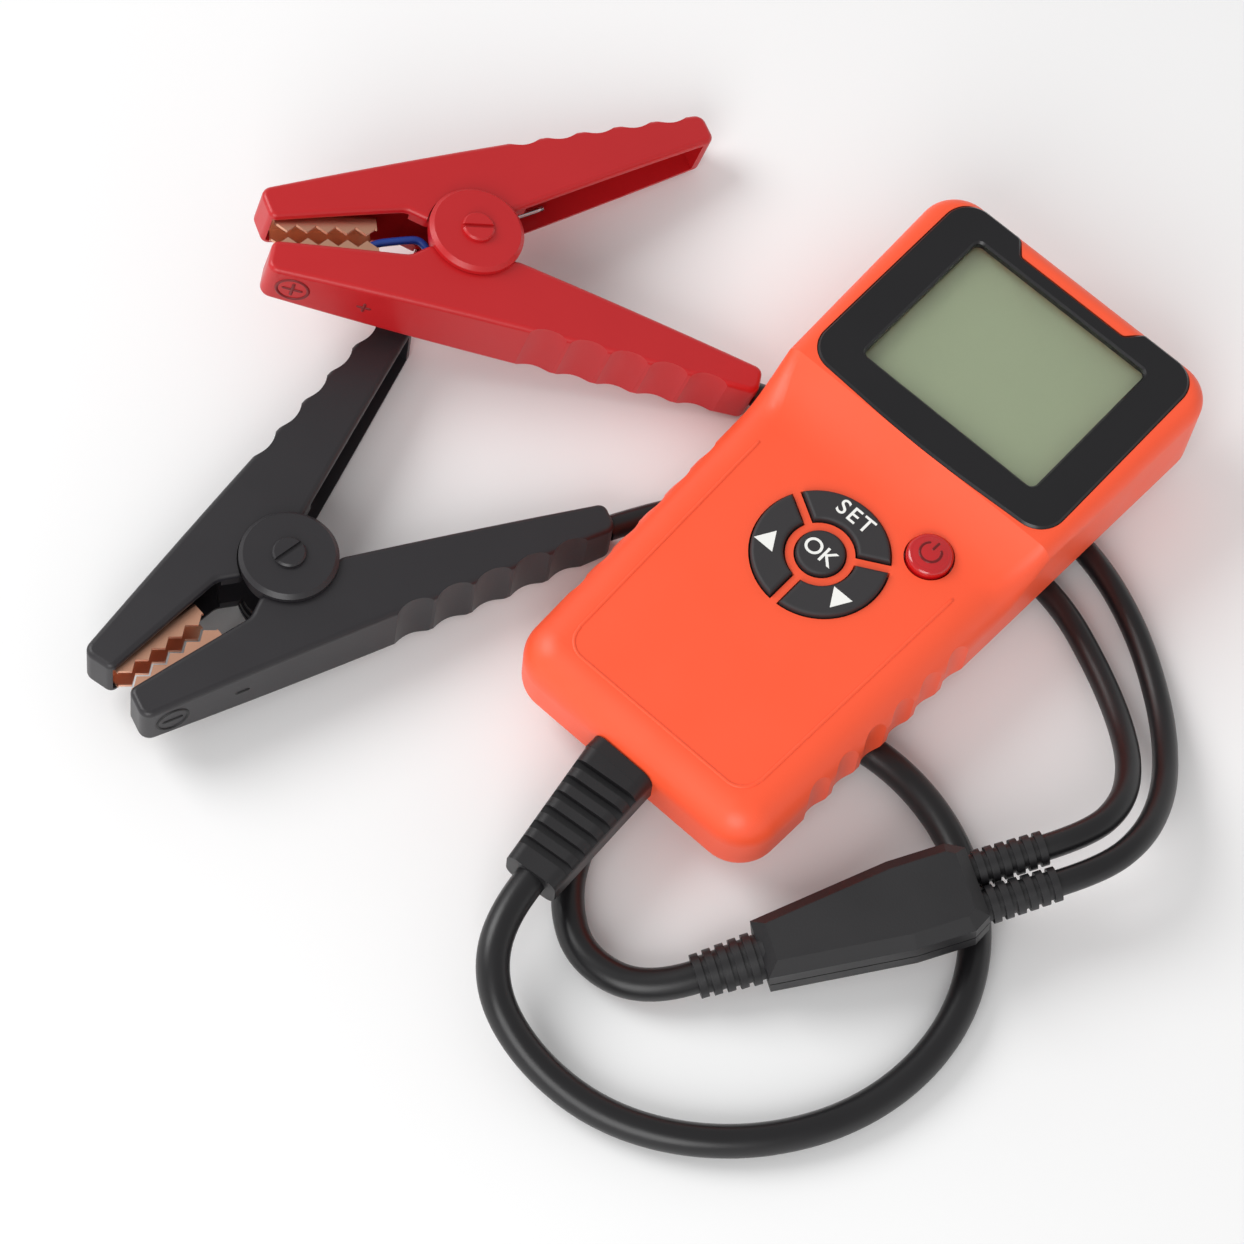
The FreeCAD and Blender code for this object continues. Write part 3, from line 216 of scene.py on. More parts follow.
# Reflective display glass, grey-green with a silvery ground.
LCD_GLASS = Finish("lcd_grey_green_glass", "#D4DCBC", 0.45, mottle_mm=60.0, tone=0.05)
# Silicone keypad rubber, dry and matte.
KEY_RUBBER = Finish("silicone_key_rubber", "#2C2A2C", 0.6, grain_mm=0.3, grain_depth=0.2, tone=0.05)
# Red polycarbonate key, glossy, and the deeper red of the sign moulded on it.
RED_KEY = Finish("translucent_red_polycarbonate", "#BE0E16", 0.14, ior=1.58, coat=0.4, mottle=0.02, tone=0.06)
DEEP_RED = Finish("deep_red_symbol", "#6E060C", 0.3, tone=0.05)
# Printed legends in white ink.
WHITE_INK = Finish("white_pad_print", "#F2F2EE", 0.5, tone=0.02)
# Soft PVC mouldings of the strain relief and the splitter.
BLACK_PVC = Finish("black_pvc_moulding", "#1B1A1C", 0.44, grain_mm=0.45, grain_depth=0.22, tone=0.06)
# Extruded cable jacket: slightly shinier, faint lengthwise draw.
CABLE_JACKET = Finish("black_pvc_cable_jacket", "#151416", 0.36, grain_mm=0.6, grain_depth=0.12, tone=0.06)
# Glass-filled nylon of the clamps, satin with a slightly cloudy gloss.
RED_NYLON = Finish(
    "red_nylon_moulding", "#C01B20", 0.36, grain_mm=0.5, grain_depth=0.14, mottle=0.03, tone=0.04
)
BLACK_NYLON = Finish(
    "black_nylon_moulding", "#262427", 0.4, grain_mm=0.5, grain_depth=0.16, mottle=0.03, tone=0.05
)
# Moulded signs on the clamps, coloured darker as painted shade of their relief.
RED_SIGN_SHADE = Finish("red_nylon_sign_painted_shade", "#7A0C11", 0.45, tone=0.04)
BLACK_SIGN_SHADE = Finish("black_nylon_sign_painted_shade", "#0E0D0F", 0.5, tone=0.04)
# Stamped copper jaws, bright with stamping lines.
COPPER = Finish("stamped_copper", "#EBB396", 0.38, metallic=1.0, grain_mm=0.5, grain_depth=0.12, brushed=True)
# Drawn spring wire and zinc plating.
SPRING_STEEL = Finish("music_wire_steel", "#B9BABD", 0.24, metallic=1.0, grain_mm=0.4, grain_depth=0.05)
PLATED_STEEL = Finish("zinc_plated_steel", "#BFC1C3", 0.3, metallic=1.0, grain_mm=0.4, grain_depth=0.06)
# The clamps' thin wire, and the board and light plate inside the housing.
BLUE_JACKET = Finish("blue_pvc_wire_jacket", "#1C3F96", 0.36, grain_mm=0.5, grain_depth=0.08)
GREEN_LAMINATE = Finish("green_board_laminate", "#1F6B3C", 0.35, grain_mm=0.8, grain_depth=0.1)
WHITE_ACRYLIC = Finish("diffuse_white_acrylic", "#ECEDEA", 0.4, tone=0.01)

NODE_FINISH = {
    "front_shell": ORANGE_ABS,
    "rear_cover": ORANGE_ABS,
    "bezel_frame": BLACK_ABS,
    "display_window": LENS_ACRYLIC,
    "lcd_panel": LCD_GLASS,
    "backlight_plate": WHITE_ACRYLIC,
    "main_board": GREEN_LAMINATE,
    "keypad_membrane": KEY_RUBBER,
    "set_button": KEY_RUBBER,
    "ok_button": KEY_RUBBER,
    "up_button": KEY_RUBBER,
    "down_button": KEY_RUBBER,
    "power_button": RED_KEY,
    "switch_domes": SPRING_STEEL,
    "board_screws": PLATED_STEEL,
    "case_screws": PLATED_STEEL,
    "strain_relief": BLACK_PVC,
    "cable_splitter": BLACK_PVC,
}


def dress(node: bpy.types.Object, finish: Finish) -> None:
    """Gives every face of an object one finish."""
    node.data.materials.clear()
    node.data.materials.append(finish.build())


def settle(piece: bpy.types.Object, finish: Finish, body: Body) -> bpy.types.Object:
    """Links a new piece, gives it its finish and says which body carries it.

    Args:
        piece: The new object, its shape already in the shared frame.
        finish: Its surface.
        body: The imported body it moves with.

    Returns:
        The same object.
    """
    bpy.context.scene.collection.objects.link(piece)
    piece.data.materials.append(finish.build())
    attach(piece, body.value)
    LOG.info("%s rides on %s", piece.name, body.value)
    return piece


def grid_mesh(
    name: str, grid: np.ndarray, wrap_rows: bool = False, wrap_columns: bool = False
) -> bpy.types.Mesh:
    """Skins a grid of points with quads and welds the points that meet, at a pole or a pointed end.

    Args:
        name: Name of the mesh.
        grid: Points in metres, shape (rows, columns, 3).
        wrap_rows: Joins the last row to the first.
        wrap_columns: Joins the last column to the first.

    Returns:
        The smooth-shaded mesh.
    """
    rows, columns = grid.shape[:2]
    a = np.arange(rows if wrap_rows else rows - 1)[:, None]
    b = np.arange(columns if wrap_columns else columns - 1)[None, :]
    c = (a + 1) % rows
    d = (b + 1) % columns
    corners = [a * columns + b, a * columns + d, c * columns + d, c * columns + b]
    quads = np.stack([np.broadcast_to(v, (a.size, b.size)) for v in corners], axis=-1).reshape(-1, 4)
    mesh = bpy.data.meshes.new(name)
    mesh.from_pydata(grid.reshape(-1, 3).tolist(), [], quads.tolist())
    mesh.polygons.foreach_set("use_smooth", np.ones(len(quads), dtype=bool))
    weld = bmesh.new()
    weld.from_mesh(mesh)
    bmesh.ops.remove_doubles(weld, verts=weld.verts, dist=WELD)
    weld.to_mesh(mesh)
    weld.free()
    mesh.update()
    return mesh


@dataclass(frozen=True)
class Bead:
    """A low rounded ridge moulded along a path on a surface, sizes in millimetres.

    Its section is half an ellipse, p(s, v) = c(s) + k(s) (w/2 cos v b(s) + h sin v n) for v from 0 to pi,
    where c is the path, n the surface's normal and b = n x c'. k falls to 0 over the last half width of
    an open path, so its ends are round.
    """

    width: float
    height: float
    steps: int = 8

    def mesh(self, name: str, path: np.ndarray, normal: np.ndarray, closed: bool = False) -> bpy.types.Mesh:
        """Sweeps the section along the path.

        Args:
            name: Name of the mesh.
            path: Points in millimetres, shape (n, 3).
            normal: The surface's unit normal.
            closed: The path is a ring.

        Returns:
            The mesh in metres.
        """
        if closed:
            along = np.roll(path, -1, axis=0) - np.roll(path, 1, axis=0)
            keep = np.ones(len(path))
        else:
            along = np.gradient(path, axis=0)
            run = np.concatenate([[0.0], np.cumsum(np.linalg.norm(np.diff(path, axis=0), axis=1))])
            keep = np.sqrt(np.clip(np.minimum(run, run[-1] - run) / (0.5 * self.width), 0.0, 1.0))
        side = np.cross(normal, along)
        side /= np.linalg.norm(side, axis=1, keepdims=True)
        v = np.linspace(0.0, math.pi, self.steps + 1)[None, :, None]
        section = self.width / 2 * np.cos(v) * side[:, None, :] + self.height * np.sin(v) * normal
        grid = path[:, None, :] + keep[:, None, None] * section
        return grid_mesh(name, grid * MM, wrap_rows=closed)


def straight(start: tuple, end: tuple, count: int = 24) -> np.ndarray:
    """Points along a line, denser at its ends: t = (1 - cos(pi s)) / 2."""
    t = (1 - np.cos(np.linspace(0.0, math.pi, count)))[:, None] / 2
    return np.array(start) * (1 - t) + np.array(end) * t


def arc(radius: float, first: float, last: float, count: int = 72) -> np.ndarray:
    """Points of a circle's arc about the origin in the XY plane, angles in degrees."""
    angle = np.radians(np.linspace(first, last, count))
    return np.stack([radius * np.cos(angle), radius * np.sin(angle), np.zeros(count)], axis=1)


def nurbs(name: str, points: np.ndarray, radius: float) -> bpy.types.Curve:
    """Makes a round smooth curve with the given control points.

    Args:
        name: Name of the curve.
        points: Control points in metres.
        radius: Its radius in metres.

    Returns:
        The curve, one open spline of order 3 that starts and ends on its end points.
    """
    curve = bpy.data.curves.new(name, "CURVE")
    curve.dimensions = "3D"
    spline = curve.splines.new("NURBS")
    spline.points.add(len(points) - 1)
    spline.points.foreach_set("co", np.column_stack([points, np.ones(len(points))]).ravel())
    spline.order_u = 3
    spline.use_endpoint_u = True
    spline.resolution_u = 12
    curve.bevel_depth = radius
    curve.bevel_resolution = 8
    curve.use_fill_caps = True
    return curve


@dataclass(frozen=True)
class Tester:
    """Printed and moulded details of the tester itself, in its own millimetres from mid length."""

    place: tuple[float, float, float] = (53.7, 31.2, 7.3)
    face: float = 18.5
    key_top: float = 19.8
    power_top: float = 20.5
    ring_y: float = -13.7
    legend_radius: float = 11.5
    set_type: float = 5.2
    set_spacing: float = 1.2
    ok_type: float = 5.4
    ok_spacing: float = 1.0
    type_weight: float = 0.05
    arrow: float = 2.95
    ink: float = 0.03
    power: tuple[float, float] = (17.2, 1.9)
    dome_radius: float = 3.8
    dome_height: float = 0.55
    sign_bead: Bead = Bead(0.62, 0.14)
    sign_radius: float = 2.3
    sign_gap: float = 70.0
    sign_stroke: tuple[float, float] = (0.5, 3.1)
    half_length: float = 75.0
    half_width: float = 33.5
    taper: float = 5.0
    line_bead: Bead = Bead(0.8, 0.28)
    line_inset: float = 8.7
    line_corner: float = 5.0
    line_span: tuple[float, float] = (-66.6, -2.0)
    sink: float = 0.02

    def dress(self) -> None:
        """Gives the housing's, display's and keypad's nodes their finishes."""
        for name, finish in NODE_FINISH.items():
            dress(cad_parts[name], finish)

    def build(self) -> None:
        """Adds the legends, the power key's dome and sign, and the panel line."""
        set_middle = (0.0, self.ring_y + self.legend_radius)
        self.word("set_legend", "SET", self.set_type, self.set_spacing, set_middle, Body.SET)
        self.word("ok_legend", "OK", self.ok_type, self.ok_spacing, (0.0, self.ring_y), Body.OK)
        self.triangle("up_legend", 210.0, 90.0, Body.UP)
        self.triangle("down_legend", -30.0, -90.0, Body.DOWN)
        self.power_dome()
        self.power_sign()
        self.panel_line()

    def word(
        self, name: str, text: str, height: float, spacing: float, middle: tuple[float, float], body: Body
    ) -> None:
        """Prints a word on a key.

        Args:
            name: Name of the piece.
            text: The word.
            height: Type size in millimetres.
            spacing: Room between letters, 1 for the type's own.
            middle: Its centre on the keypad face.
            body: The key it is printed on.
        """
        curve = bpy.data.curves.new(name, "FONT")
        curve.body = text
        curve.size = height * MM
        curve.space_character = spacing
        curve.align_x = "CENTER"
        curve.align_y = "CENTER"
        curve.offset = self.type_weight * MM
        curve.extrude = self.ink * MM
        maker = bpy.data.objects.new(name + "_type", curve)
        mesh = bpy.data.meshes.new_from_object(maker)
        bpy.data.objects.remove(maker)
        points = np.empty(len(mesh.vertices) * 3)
        mesh.vertices.foreach_get("co", points)
        points = points.reshape(-1, 3)
        points -= (points.min(axis=0) + points.max(axis=0)) / 2
        points += (np.array(self.place) + (middle[0], middle[1], self.key_top)) * MM
        mesh.vertices.foreach_set("co", points.ravel())
        mesh.materials.clear()
        settle(bpy.data.objects.new(name, mesh), WHITE_INK, body)

    def triangle(self, name: str, place_angle: float, point_angle: float, body: Body) -> None:
        """Prints an arrow triangle on a curved key.

        The outline is r(v) = R (cos v, sin v) at three angles 120 degrees apart.

        Args:
            name: Name of the piece.
            place_angle: Where on the ring of keys, degrees.
            point_angle: Where the tip points, degrees.
            body: The key it is printed on.
        """
        at = np.radians(place_angle)
        angles = np.radians(point_angle + np.array([0.0, 120.0, 240.0]))
        flat = self.arrow * np.stack([np.cos(angles), np.sin(angles)], axis=1)
        flat += self.legend_radius * np.array([np.cos(at), np.sin(at)]) + (0.0, self.ring_y)
        low = np.column_stack([flat, np.full(3, self.key_top - self.ink)])
        high = np.column_stack([flat, np.full(3, self.key_top + self.ink)])
        points = (np.concatenate([low, high]) + self.place) * MM
        mesh = bpy.data.meshes.new(name)
        faces = [(2, 1, 0), (3, 4, 5), (0, 1, 4, 3), (1, 2, 5, 4), (2, 0, 3, 5)]
        mesh.from_pydata(points.tolist(), [], faces)
        settle(bpy.data.objects.new(name, mesh), WHITE_INK, body)

    def power_middle(self) -> np.ndarray:
        """Middle of the power key's flat top in the shared frame, in millimetres."""
        return np.array(self.place) + (self.power[0], self.power[1], self.power_top)

    def crest(self, radius: np.ndarray) -> np.ndarray:
        """Height of the power key's dome over its flat top: h (1 - (r / R)^2)."""
        return self.dome_height * (1 - (radius / self.dome_radius) ** 2)

    def power_dome(self) -> None:
        """Domes the red key's top: (r cos a, r sin a, crest(r)) for r from 0 to R."""
        radius = np.linspace(0.0, self.dome_radius, 25)[:, None]
        angle = np.linspace(0.0, 2 * math.pi, 64, endpoint=False)[None, :]
        height = self.crest(radius) * np.ones_like(angle)
        shape = np.stack([radius * np.cos(angle), radius * np.sin(angle), height], axis=-1)
        mesh = grid_mesh("power_key_dome", (shape + self.power_middle()) * MM, wrap_columns=True)
        settle(bpy.data.objects.new("power_key_dome", mesh), RED_KEY, Body.POWER)

    def power_sign(self) -> None:
        """Moulds the open ring and the stroke of the power sign on the dome, each path at z = crest(r)."""
        half_gap = self.sign_gap / 2
        inner, outer = self.sign_stroke
        paths = {
            "power_sign_ring": arc(self.sign_radius, 90.0 + half_gap, 450.0 - half_gap),
            "power_sign_stroke": straight((0.0, inner, 0.0), (0.0, outer, 0.0)),
        }
        for name, path in paths.items():
            path[:, 2] = self.crest(np.hypot(path[:, 0], path[:, 1])) - self.sink
            mesh = self.sign_bead.mesh(name, path + self.power_middle(), UP)
            settle(bpy.data.objects.new(name, mesh), DEEP_RED, Body.POWER)

    def line_edge(self, y: float) -> float:
        """Distance of the panel line from the middle, parallel to the tapering side."""
        along = (y + self.half_length) / (2 * self.half_length)
        return self.half_width + along * self.taper - self.line_inset

    def panel_line(self) -> None:
        """Raises the fine line round the keypad face, up both sides from the cable end."""
        low, high = self.line_span
        bend = low + self.line_corner
        lean = math.degrees(math.atan(self.taper / (2 * self.half_length)))
        right = np.array([self.line_edge(low) - self.line_corner, bend, 0.0])
        left = right * (-1, 1, 1)
        path = np.concatenate(
            [
                straight((-self.line_edge(high), high, 0.0), (-self.line_edge(bend), bend, 0.0)),
                left + arc(self.line_corner, 180.0 + lean, 270.0, 24),
                straight((left[0], low, 0.0), (right[0], low, 0.0))[1:-1],
                right + arc(self.line_corner, 270.0, 360.0 - lean, 24),
                straight((self.line_edge(bend), bend, 0.0), (self.line_edge(high), high, 0.0)),
            ]
        )
        path = path + self.place + (0.0, 0.0, self.face - self.sink)
        mesh = self.line_bead.mesh("keypad_panel_line", path, UP)
        settle(bpy.data.objects.new("keypad_panel_line", mesh), ORANGE_ABS, Body.TESTER)


@dataclass(frozen=True)
class Clamp:
    """One spring clamp: where its pivot is and how it lies, in millimetres and degrees."""

    colour: str
    place: tuple[float, float, float]
    yaw: float
    pitch: float
    nylon: Finish
    # Darker nylon of the signs: painted shade of their relief.
    sign_shade_finish: Finish
    arm_body: Body
    sign: Polarity
    sense_route: tuple[tuple[float, float, float], ...]
    nose: float = 47.0
    nose_edge: float = 10.3
    edge_slope: float = 13.9
    head_level: float = 9.49
    coil_radius: float = 5.2
    coil_pitch: float = 1.8
    turns: int = 3
    wire: float = 0.65
    wire_sides: int = 16
    leg: float = 24.0
    leg_slope: float = 24.0
    opening: float = 40.0
    sense_radius: float = 0.9
    sign_bead: Bead = Bead(0.75, 0.3)
    ring_sign_x: float = -40.5
    ring_radius: float = 3.5
    ring_stroke: float = 2.4
    small_sign_x: float = -25.0
    small_stroke: float = 1.7
    sink: float = 0.03

    def matrix(self) -> np.ndarray:
        """Rotation from the clamp's axes to the shared frame."""
        turn = math.radians(self.yaw)
        tilt = math.radians(self.pitch)
        spin = Matrix.Rotation(turn, 3, "Z") @ Matrix.Rotation(tilt, 3, "Y")
        return np.array(spin)

    def shared(self, points: np.ndarray) -> np.ndarray:
        """Moves points of the clamp's own axes to the shared frame, in millimetres."""
        return points @ self.matrix().T + self.place

    def dress(self) -> None:
        """Gives the clamp's nodes their finishes; the pin's slotted head is a nylon cover."""
        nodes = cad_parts
        for part in ("fixed_arm", "moving_arm", "pivot_caps"):
            dress(nodes[f"{self.colour}_{part}"], self.nylon)
        for part in ("fixed_jaw", "moving_jaw"):
            dress(nodes[f"{self.colour}_{part}"], COPPER)
        pin = nodes[f"{self.colour}_pivot_pin"]
        dress(pin, PLATED_STEEL)
        pin.data.materials.append(self.nylon.build())
        count = len(pin.data.polygons)
        centres = np.empty(count * 3)
        pin.data.polygons.foreach_get("center", centres)
        world = np.array(pin.matrix_world)
        centres = centres.reshape(-1, 3) @ world[:3, :3].T + world[:3, 3]
        local = (centres / MM - self.place) @ self.matrix()
        head = local[:, 2] > self.head_level
        pin.data.polygons.foreach_set("material_index", head.astype(np.int32))

    def build(self) -> None:
        """Adds the spring, the sense wire and the polarity signs."""
        self.spring()
        self.sense_wire()
        self.signs()

    def coil(self, angle: np.ndarray | float, middle: float) -> np.ndarray:
        """Points of the spring's coil: (R cos a, R sin a, p (a - m) / 2 pi), m the angle at mid height."""
        height = self.coil_pitch / (2 * math.pi) * (angle - middle)
        return np.stack([self.coil_radius * np.cos(angle), self.coil_radius * np.sin(angle), height], axis=-1)

    def tangent(self, angle: float) -> np.ndarray:
        """Unit direction of the coil at an angle: (-sin a, cos a, p / 2 pi R), scaled to length 1."""
        climb = self.coil_pitch / (2 * math.pi) / self.coil_radius
        way = np.array([-math.sin(angle), math.cos(angle), climb])
        return way / np.linalg.norm(way)

    def spring(self) -> None:
        """Winds the torsion spring as a coil with its fixed leg, and a moving leg on the moving arm.

        Each leg leaves the coil along its tangent. The coil starts one opening angle early, so it meets
        the moving leg in every pose.
        """
        first = 90.0 + self.leg_slope
        sweep = 360.0 * self.turns - 2 * first
        middle = math.radians(first + sweep / 2)
        angle = np.radians(np.linspace(first - self.opening, first + sweep, 240))
        coil = self.coil(angle, middle)
        fixed_leg = coil[-1] + np.linspace(0.0, self.leg, 12)[1:, None] * self.tangent(angle[-1])
        self.wire_piece(f"{self.colour}_spring_coil", np.concatenate([coil, fixed_leg]), Body.TESTER)
        start = math.radians(first)
        moving_leg = self.coil(start, middle) - np.linspace(0.0, self.leg, 14)[:, None] * self.tangent(start)
        self.wire_piece(f"{self.colour}_spring_moving_leg", moving_leg, self.arm_body)

    def wire_piece(self, name: str, centre: np.ndarray, body: Body) -> None:
        """Sweeps a round wire along points of the clamp's own axes, its ends closed at their middles.

        The tube is c + r (cos v s + sin v o), with c the middle line, s = c' x z and o = s x c'.

        Args:
            name: Name of the piece.
            centre: The wire's middle line in millimetres.
            body: The body it moves with.
        """
        along = np.gradient(centre, axis=0)
        along /= np.linalg.norm(along, axis=1, keepdims=True)
        side = np.cross(along, UP)
        side /= np.linalg.norm(side, axis=1, keepdims=True)
        over = np.cross(side, along)
        v = np.linspace(0.0, 2 * math.pi, self.wire_sides, endpoint=False)[None, :, None]
        grid = centre[:, None, :] + self.wire * (np.cos(v) * side[:, None, :] + np.sin(v) * over[:, None, :])
        caps = [np.repeat(centre[i][None, None, :], self.wire_sides, axis=1) for i in (0, -1)]
        grid = np.concatenate([caps[0], grid, caps[1]])
        mesh = grid_mesh(name, self.shared(grid) * MM, wrap_columns=True)
        piece = settle(bpy.data.objects.new(name, mesh), SPRING_STEEL, body)
        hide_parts(f"{self.colour}_torsion_spring")

    def sense_wire(self) -> None:
        """Lays the blue sense wire from the fixed copper jaw past the pivot as a smooth spline."""
        name = f"{self.colour}_blue_sense_wire"
        points = self.shared(np.array(self.sense_route)) * MM
        piece = bpy.data.objects.new(name, nurbs(name, points, self.sense_radius * MM))
        settle(piece, BLUE_JACKET, Body.TESTER)
        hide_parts(f"{self.colour}_sense_wire")

    def strokes(self, half: float) -> list[np.ndarray]:
        """Bars of the clamp's sign about the origin, each twice the given half long.

        Args:
            half: Half a bar's length in millimetres.

        Returns:
            One bar for minus, two crossed bars for plus.
        """
        bars = [straight((-half, 0.0, 0.0), (half, 0.0, 0.0))]
        if self.sign is Polarity.PLUS:
            bars.append(straight((0.0, -half, 0.0), (0.0, half, 0.0)))
        return bars

    def signs(self) -> None:
        """Raises the ringed sign and a small sign on the fixed arm's outer side."""
        lean = math.radians(self.edge_slope)
        along = np.array([math.cos(lean), -math.sin(lean), 0.0])
        normal = np.array([-math.sin(lean), -math.cos(lean), 0.0])
        axes = np.stack([along, UP, normal])
        facing = self.matrix() @ normal
        ring = arc(self.ring_radius, 0.0, 350.0, 71)
        signs = (
            ("ring_sign", self.ring_sign_x, [ring] + self.strokes(self.ring_stroke)),
            ("small_sign", self.small_sign_x, self.strokes(self.small_stroke)),
        )
        for sign, x, paths in signs:
            edge = self.nose_edge + (x + self.nose) * math.tan(lean)
            middle = np.array([x, -edge, 0.0]) - normal * self.sink
            for i, flat in enumerate(paths):
                name = f"{self.colour}_{sign}_{i + 1}"
                path = self.shared(middle + flat @ axes)
                mesh = self.sign_bead.mesh(name, path, facing, closed=flat is ring)
                piece = bpy.data.objects.new(name, mesh)
                # The signs take the darker nylon, which is painted shade.
                settle(piece, self.sign_shade_finish, Body.TESTER)


# The red clamp's wire shows in the throat between its arms; the black one's stays along the fixed arm.
RED_SENSE = (
    (-25.0, -3.85, 0.0), (-23.4, -0.6, 1.5), (-16.0, 0.2, 2.6), (-10.4, 0.8, 2.6),
    (-8.6, -6.6, 1.2), (4.0, -12.2, 0.0),
)
BLACK_SENSE = ((-25.0, -3.85, 0.0), (-17.0, -4.15, 0.0), (-8.0, -7.8, 0.0), (4.0, -12.2, 0.0))

CLAMPS = (
    Clamp(
        colour="red",
        place=(-53.4, 23.1, 19.2),
        yaw=49.0,
        pitch=12.5,
        nylon=RED_NYLON,
        sign_shade_finish=RED_SIGN_SHADE,
        arm_body=Body.RED_ARM,
        sign=Polarity.PLUS,
        sense_route=RED_SENSE,
    ),
    Clamp(
        colour="black",
        place=(-29.2, -58.5, 10.2),
        yaw=83.6,
        pitch=4.0,
        nylon=BLACK_NYLON,
        sign_shade_finish=BLACK_SIGN_SHADE,
        arm_body=Body.BLACK_ARM,
        sign=Polarity.MINUS,
        sense_route=BLACK_SENSE,
    ),
)


@dataclass(frozen=True)
class Cord:
    """A free cable: its route and radius in millimetres, its length in metres and what it ends in."""

    name: str
    node: str
    route: tuple[tuple[float, float, float], ...]
    radius: float
    length: float
    far_end: str
    with_nodes: tuple[str, ...] = ()

    def build(self) -> None:
        points = np.array(self.route) * MM
        piece = bpy.data.objects.new(self.name, nurbs(self.name, points, self.radius * MM))
        settle(piece, CABLE_JACKET, Body.TESTER)
        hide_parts(self.node)


MAIN_ROUTE = (
    (56.888, -75.633, 15.3), (58.038, -86.573, 15.3), (66.0, -97.6, 12.0), (79.5, -101.6, 6.6),
    (96.5, -100.6, 3.7), (112.5, -94.0, 3.6), (126.5, -82.0, 3.6), (136.5, -66.0, 3.6),
    (140.5, -48.0, 3.6), (138.0, -30.0, 3.6), (128.5, -14.5, 3.6), (113.0, -3.6, 3.6),
    (94.5, 0.8, 3.6), (76.0, -2.0, 3.6), (62.0, -12.0, 3.6), (54.6, -27.5, 3.6),
    (53.2, -44.0, 3.6), (55.6, -59.0, 3.6), (62.4, -70.6, 3.6), (73.6, -77.8, 3.8),
    (88.264, -74.568, 4.85), (93.874, -65.231, 6.381),
)

BLACK_ROUTE = (
    (129.632, 2.24, 17.097), (134.732, 10.729, 18.489), (135.3, 21.2, 16.3), (130.8, 31.3, 11.5),
    (122.0, 40.5, 6.5), (109.5, 48.8, 3.4), (94.0, 55.6, 2.9), (77.0, 57.0, 2.9),
    (59.0, 52.5, 2.9), (41.0, 42.0, 2.9), (26.0, 26.0, 2.9), (15.755, 9.261, 5.141),
    (11.214, -0.731, 5.871),
)

RED_ROUTE = (
    (136.66, -1.983, 17.097), (141.761, 6.505, 18.489), (143.2, 18.0, 16.5), (140.5, 29.5, 12.0),
    (134.5, 40.5, 7.0), (124.5, 51.7, 3.4), (110.0, 62.2, 2.9), (92.5, 69.5, 2.9),
    (73.0, 71.0, 2.9), (53.5, 66.5, 2.9), (35.0, 58.0, 2.9), (21.07, 52.185, 3.502),
    (11.804, 46.707, 5.767),
)

CORDS = (
    Cord("main_cable_jacket", "main_cable", MAIN_ROUTE, 3.5, 0.338, "fitting", ("cable_splitter",)),
    Cord("black_lead_jacket", "black_lead", BLACK_ROUTE, 2.8, 0.187, "object"),
    Cord("red_lead_jacket", "red_lead", RED_ROUTE, 2.8, 0.185, "object"),
)


@dataclass(frozen=True)
class Camera:
    """The photograph's viewpoint: heading, elevation and roll in degrees, distances in millimetres."""

    elevation: float = 63.809
    azimuth: float = 34.581
    roll: float = 8.365
    distance: float = 784.211
    target: tuple[float, float, float] = (31.102, -19.065, 15.0)
    focal_pixels: float = 3700.0
    sensor: float = 36.0
    nearest: float = 50.0

    def build(self) -> None:
        """Places the camera and makes it the scene's own."""
        lift = math.radians(self.elevation)
        turn = math.radians(self.azimuth)
        spin = math.radians(self.roll)
        ahead = Vector((-math.sin(turn) * math.cos(lift), math.cos(turn) * math.cos(lift), -math.sin(lift)))
        right = Vector((math.cos(turn), math.sin(turn), 0.0))
        up = right.cross(ahead)
        across = right * math.cos(spin) + up * math.sin(spin)
        above = up * math.cos(spin) - right * math.sin(spin)
        place = (Vector(self.target) - ahead * self.distance) * MM
        data = bpy.data.cameras.new("photo_camera")
        data.sensor_width = self.sensor
        data.lens = self.sensor * self.focal_pixels / PHOTO_PIXELS
        data.clip_start = self.nearest * MM
        camera = bpy.data.objects.new("photo_camera", data)
        axes = Matrix((across, above, -ahead)).transposed()
        camera.matrix_world = Matrix.Translation(place) @ axes.to_4x4()
        bpy.context.scene.collection.objects.link(camera)
        bpy.context.scene.camera = camera


@dataclass(frozen=True)
class Lamp:
    """A soft studio panel: where it hangs, its size in metres and its power in watts."""

    name: str
    place: tuple[float, float, float]
    size: float
    power: float

    def build(self) -> None:
        """Hangs the panel and aims it at the object."""
        data = bpy.data.lights.new(self.name, "AREA")
        data.shape = "DISK"
        data.size = self.size
        data.energy = self.power
        lamp = bpy.data.objects.new(self.name, data)
        lamp.location = self.place
        lamp.rotation_mode = "QUATERNION"
        lamp.rotation_quaternion = (-Vector(self.place)).to_track_quat("-Z", "Y")
        bpy.context.scene.collection.objects.link(lamp)


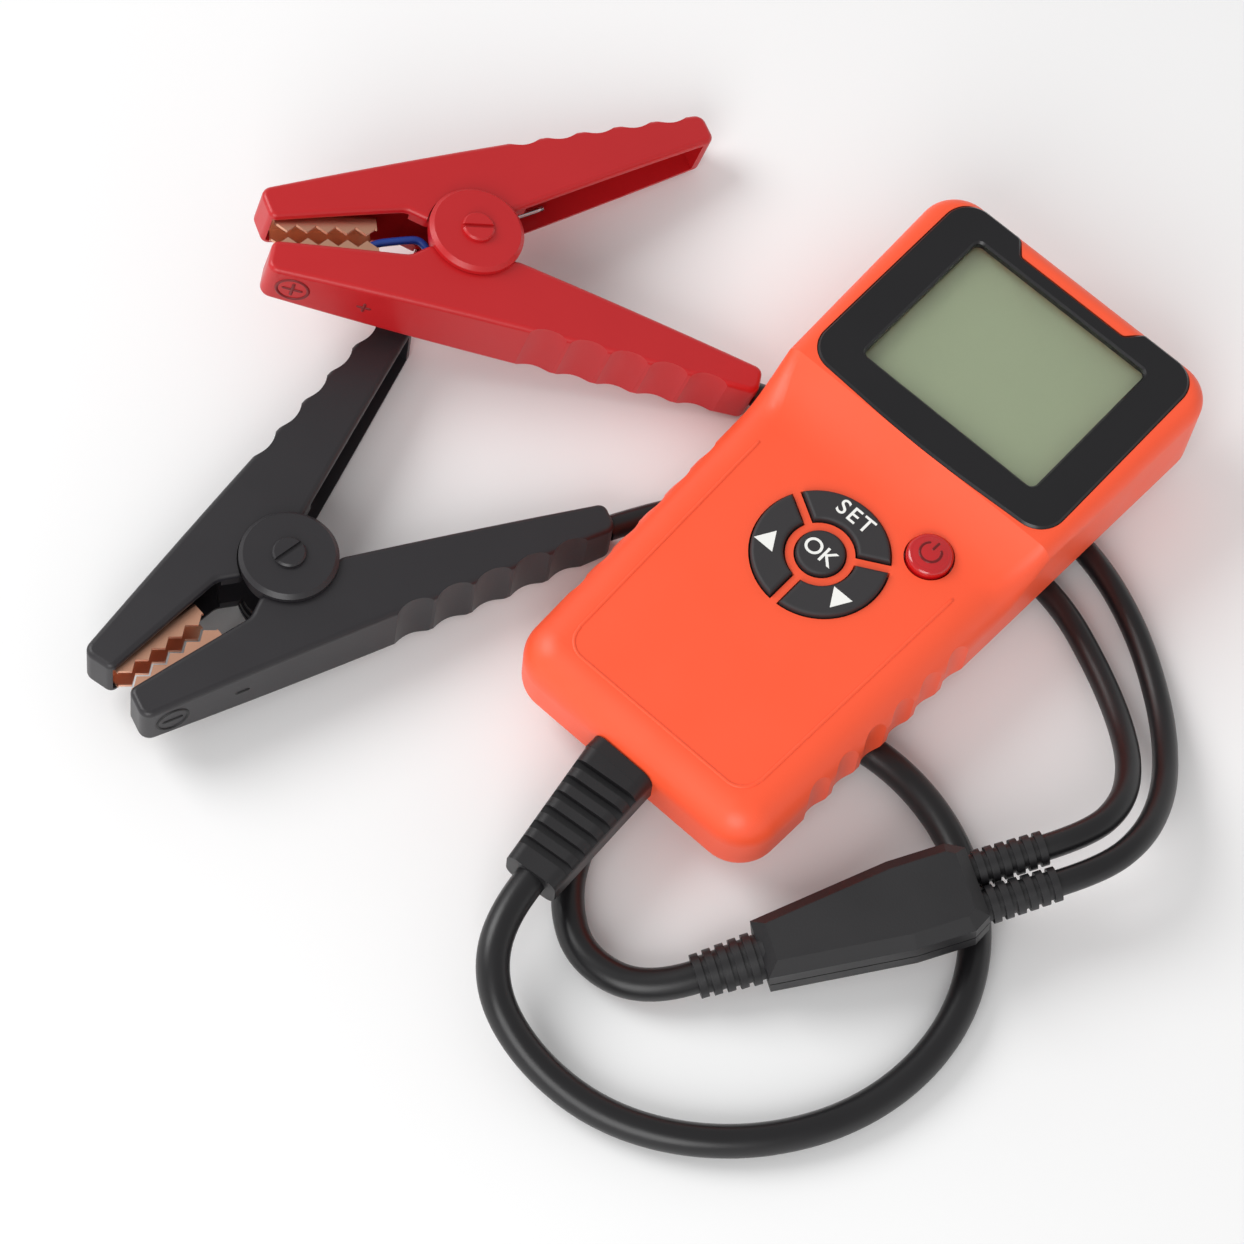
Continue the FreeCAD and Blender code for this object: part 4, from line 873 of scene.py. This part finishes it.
@dataclass(frozen=True)
class Studio:
    """Pale floor, a white surround that is brightest at the horizon, and soft lamps."""

    floor_half: float = 6.0
    floor_level: float = -0.0004
    paper: str = "#F6F6F6"
    paper_roughness: float = 0.9
    paper_shine: float = 0.1
    surround: float = 0.45
    horizon: float = 0.95
    fade_heights: tuple[float, float] = (0.05, 0.6)
    lamps: tuple[Lamp, ...] = (
        Lamp("key_panel", (-1.0, -0.35, 1.0), 0.9, 10.5),
        Lamp("front_panel", (0.45, -1.0, 0.8), 0.9, 8.0),
    )

    def build(self) -> None:
        """Makes the floor, the surround and the lamps."""
        bpy.context.scene.view_settings.view_transform = "Standard"
        self.floor()
        self.world()
        for lamp in self.lamps:
            lamp.build()

    def floor(self) -> None:
        """Lays a sheet of white paper under the object."""
        half = self.floor_half
        corners = [(-half, -half), (half, -half), (half, half), (-half, half)]
        mesh = bpy.data.meshes.new("studio_floor")
        mesh.from_pydata([(x, y, self.floor_level) for x, y in corners], [], [(0, 1, 2, 3)])
        floor = bpy.data.objects.new("studio_floor", mesh)
        bpy.context.scene.collection.objects.link(floor)
        material = bpy.data.materials.new("white_paper_sweep")
        material.use_nodes = True
        shader = material.node_tree.nodes["Principled BSDF"]
        shader.inputs["Base Color"].default_value = linear(self.paper)
        shader.inputs["Roughness"].default_value = self.paper_roughness
        shader.inputs["Specular IOR Level"].default_value = self.paper_shine
        mesh.materials.append(material)

    def world(self) -> None:
        """Surrounds the scene with white light that falls from the horizon's strength to the surround's."""
        world = bpy.data.worlds.new("white_surround")
        world.use_nodes = True
        tree = world.node_tree
        background = tree.nodes["Background"]
        background.inputs["Color"].default_value = (1.0, 1.0, 1.0, 1.0)
        way = add_node(tree, "ShaderNodeTexCoord").outputs["Generated"]
        height = add_node(tree, "ShaderNodeSeparateXYZ", {"Vector": way}).outputs["Z"]
        fade = add_node(
            tree,
            "ShaderNodeMapRange",
            {
                "Value": height,
                "From Min": self.fade_heights[0],
                "From Max": self.fade_heights[1],
                "To Min": self.horizon,
                "To Max": self.surround,
            },
        )
        tree.links.new(fade.outputs["Result"], background.inputs["Strength"])
        bpy.context.scene.world = world


def main() -> None:
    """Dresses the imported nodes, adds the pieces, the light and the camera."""
    logging.basicConfig(level=logging.INFO, format="%(message)s")
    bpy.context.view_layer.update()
    tester = Tester()
    tester.dress()
    tester.build()
    for clamp in CLAMPS:
        clamp.dress()
        clamp.build()
    for cord in CORDS:
        cord.build()
    Studio().build()
    Camera().build()
    LOG.info("boxes written")


if __name__ == "__main__":
    main()
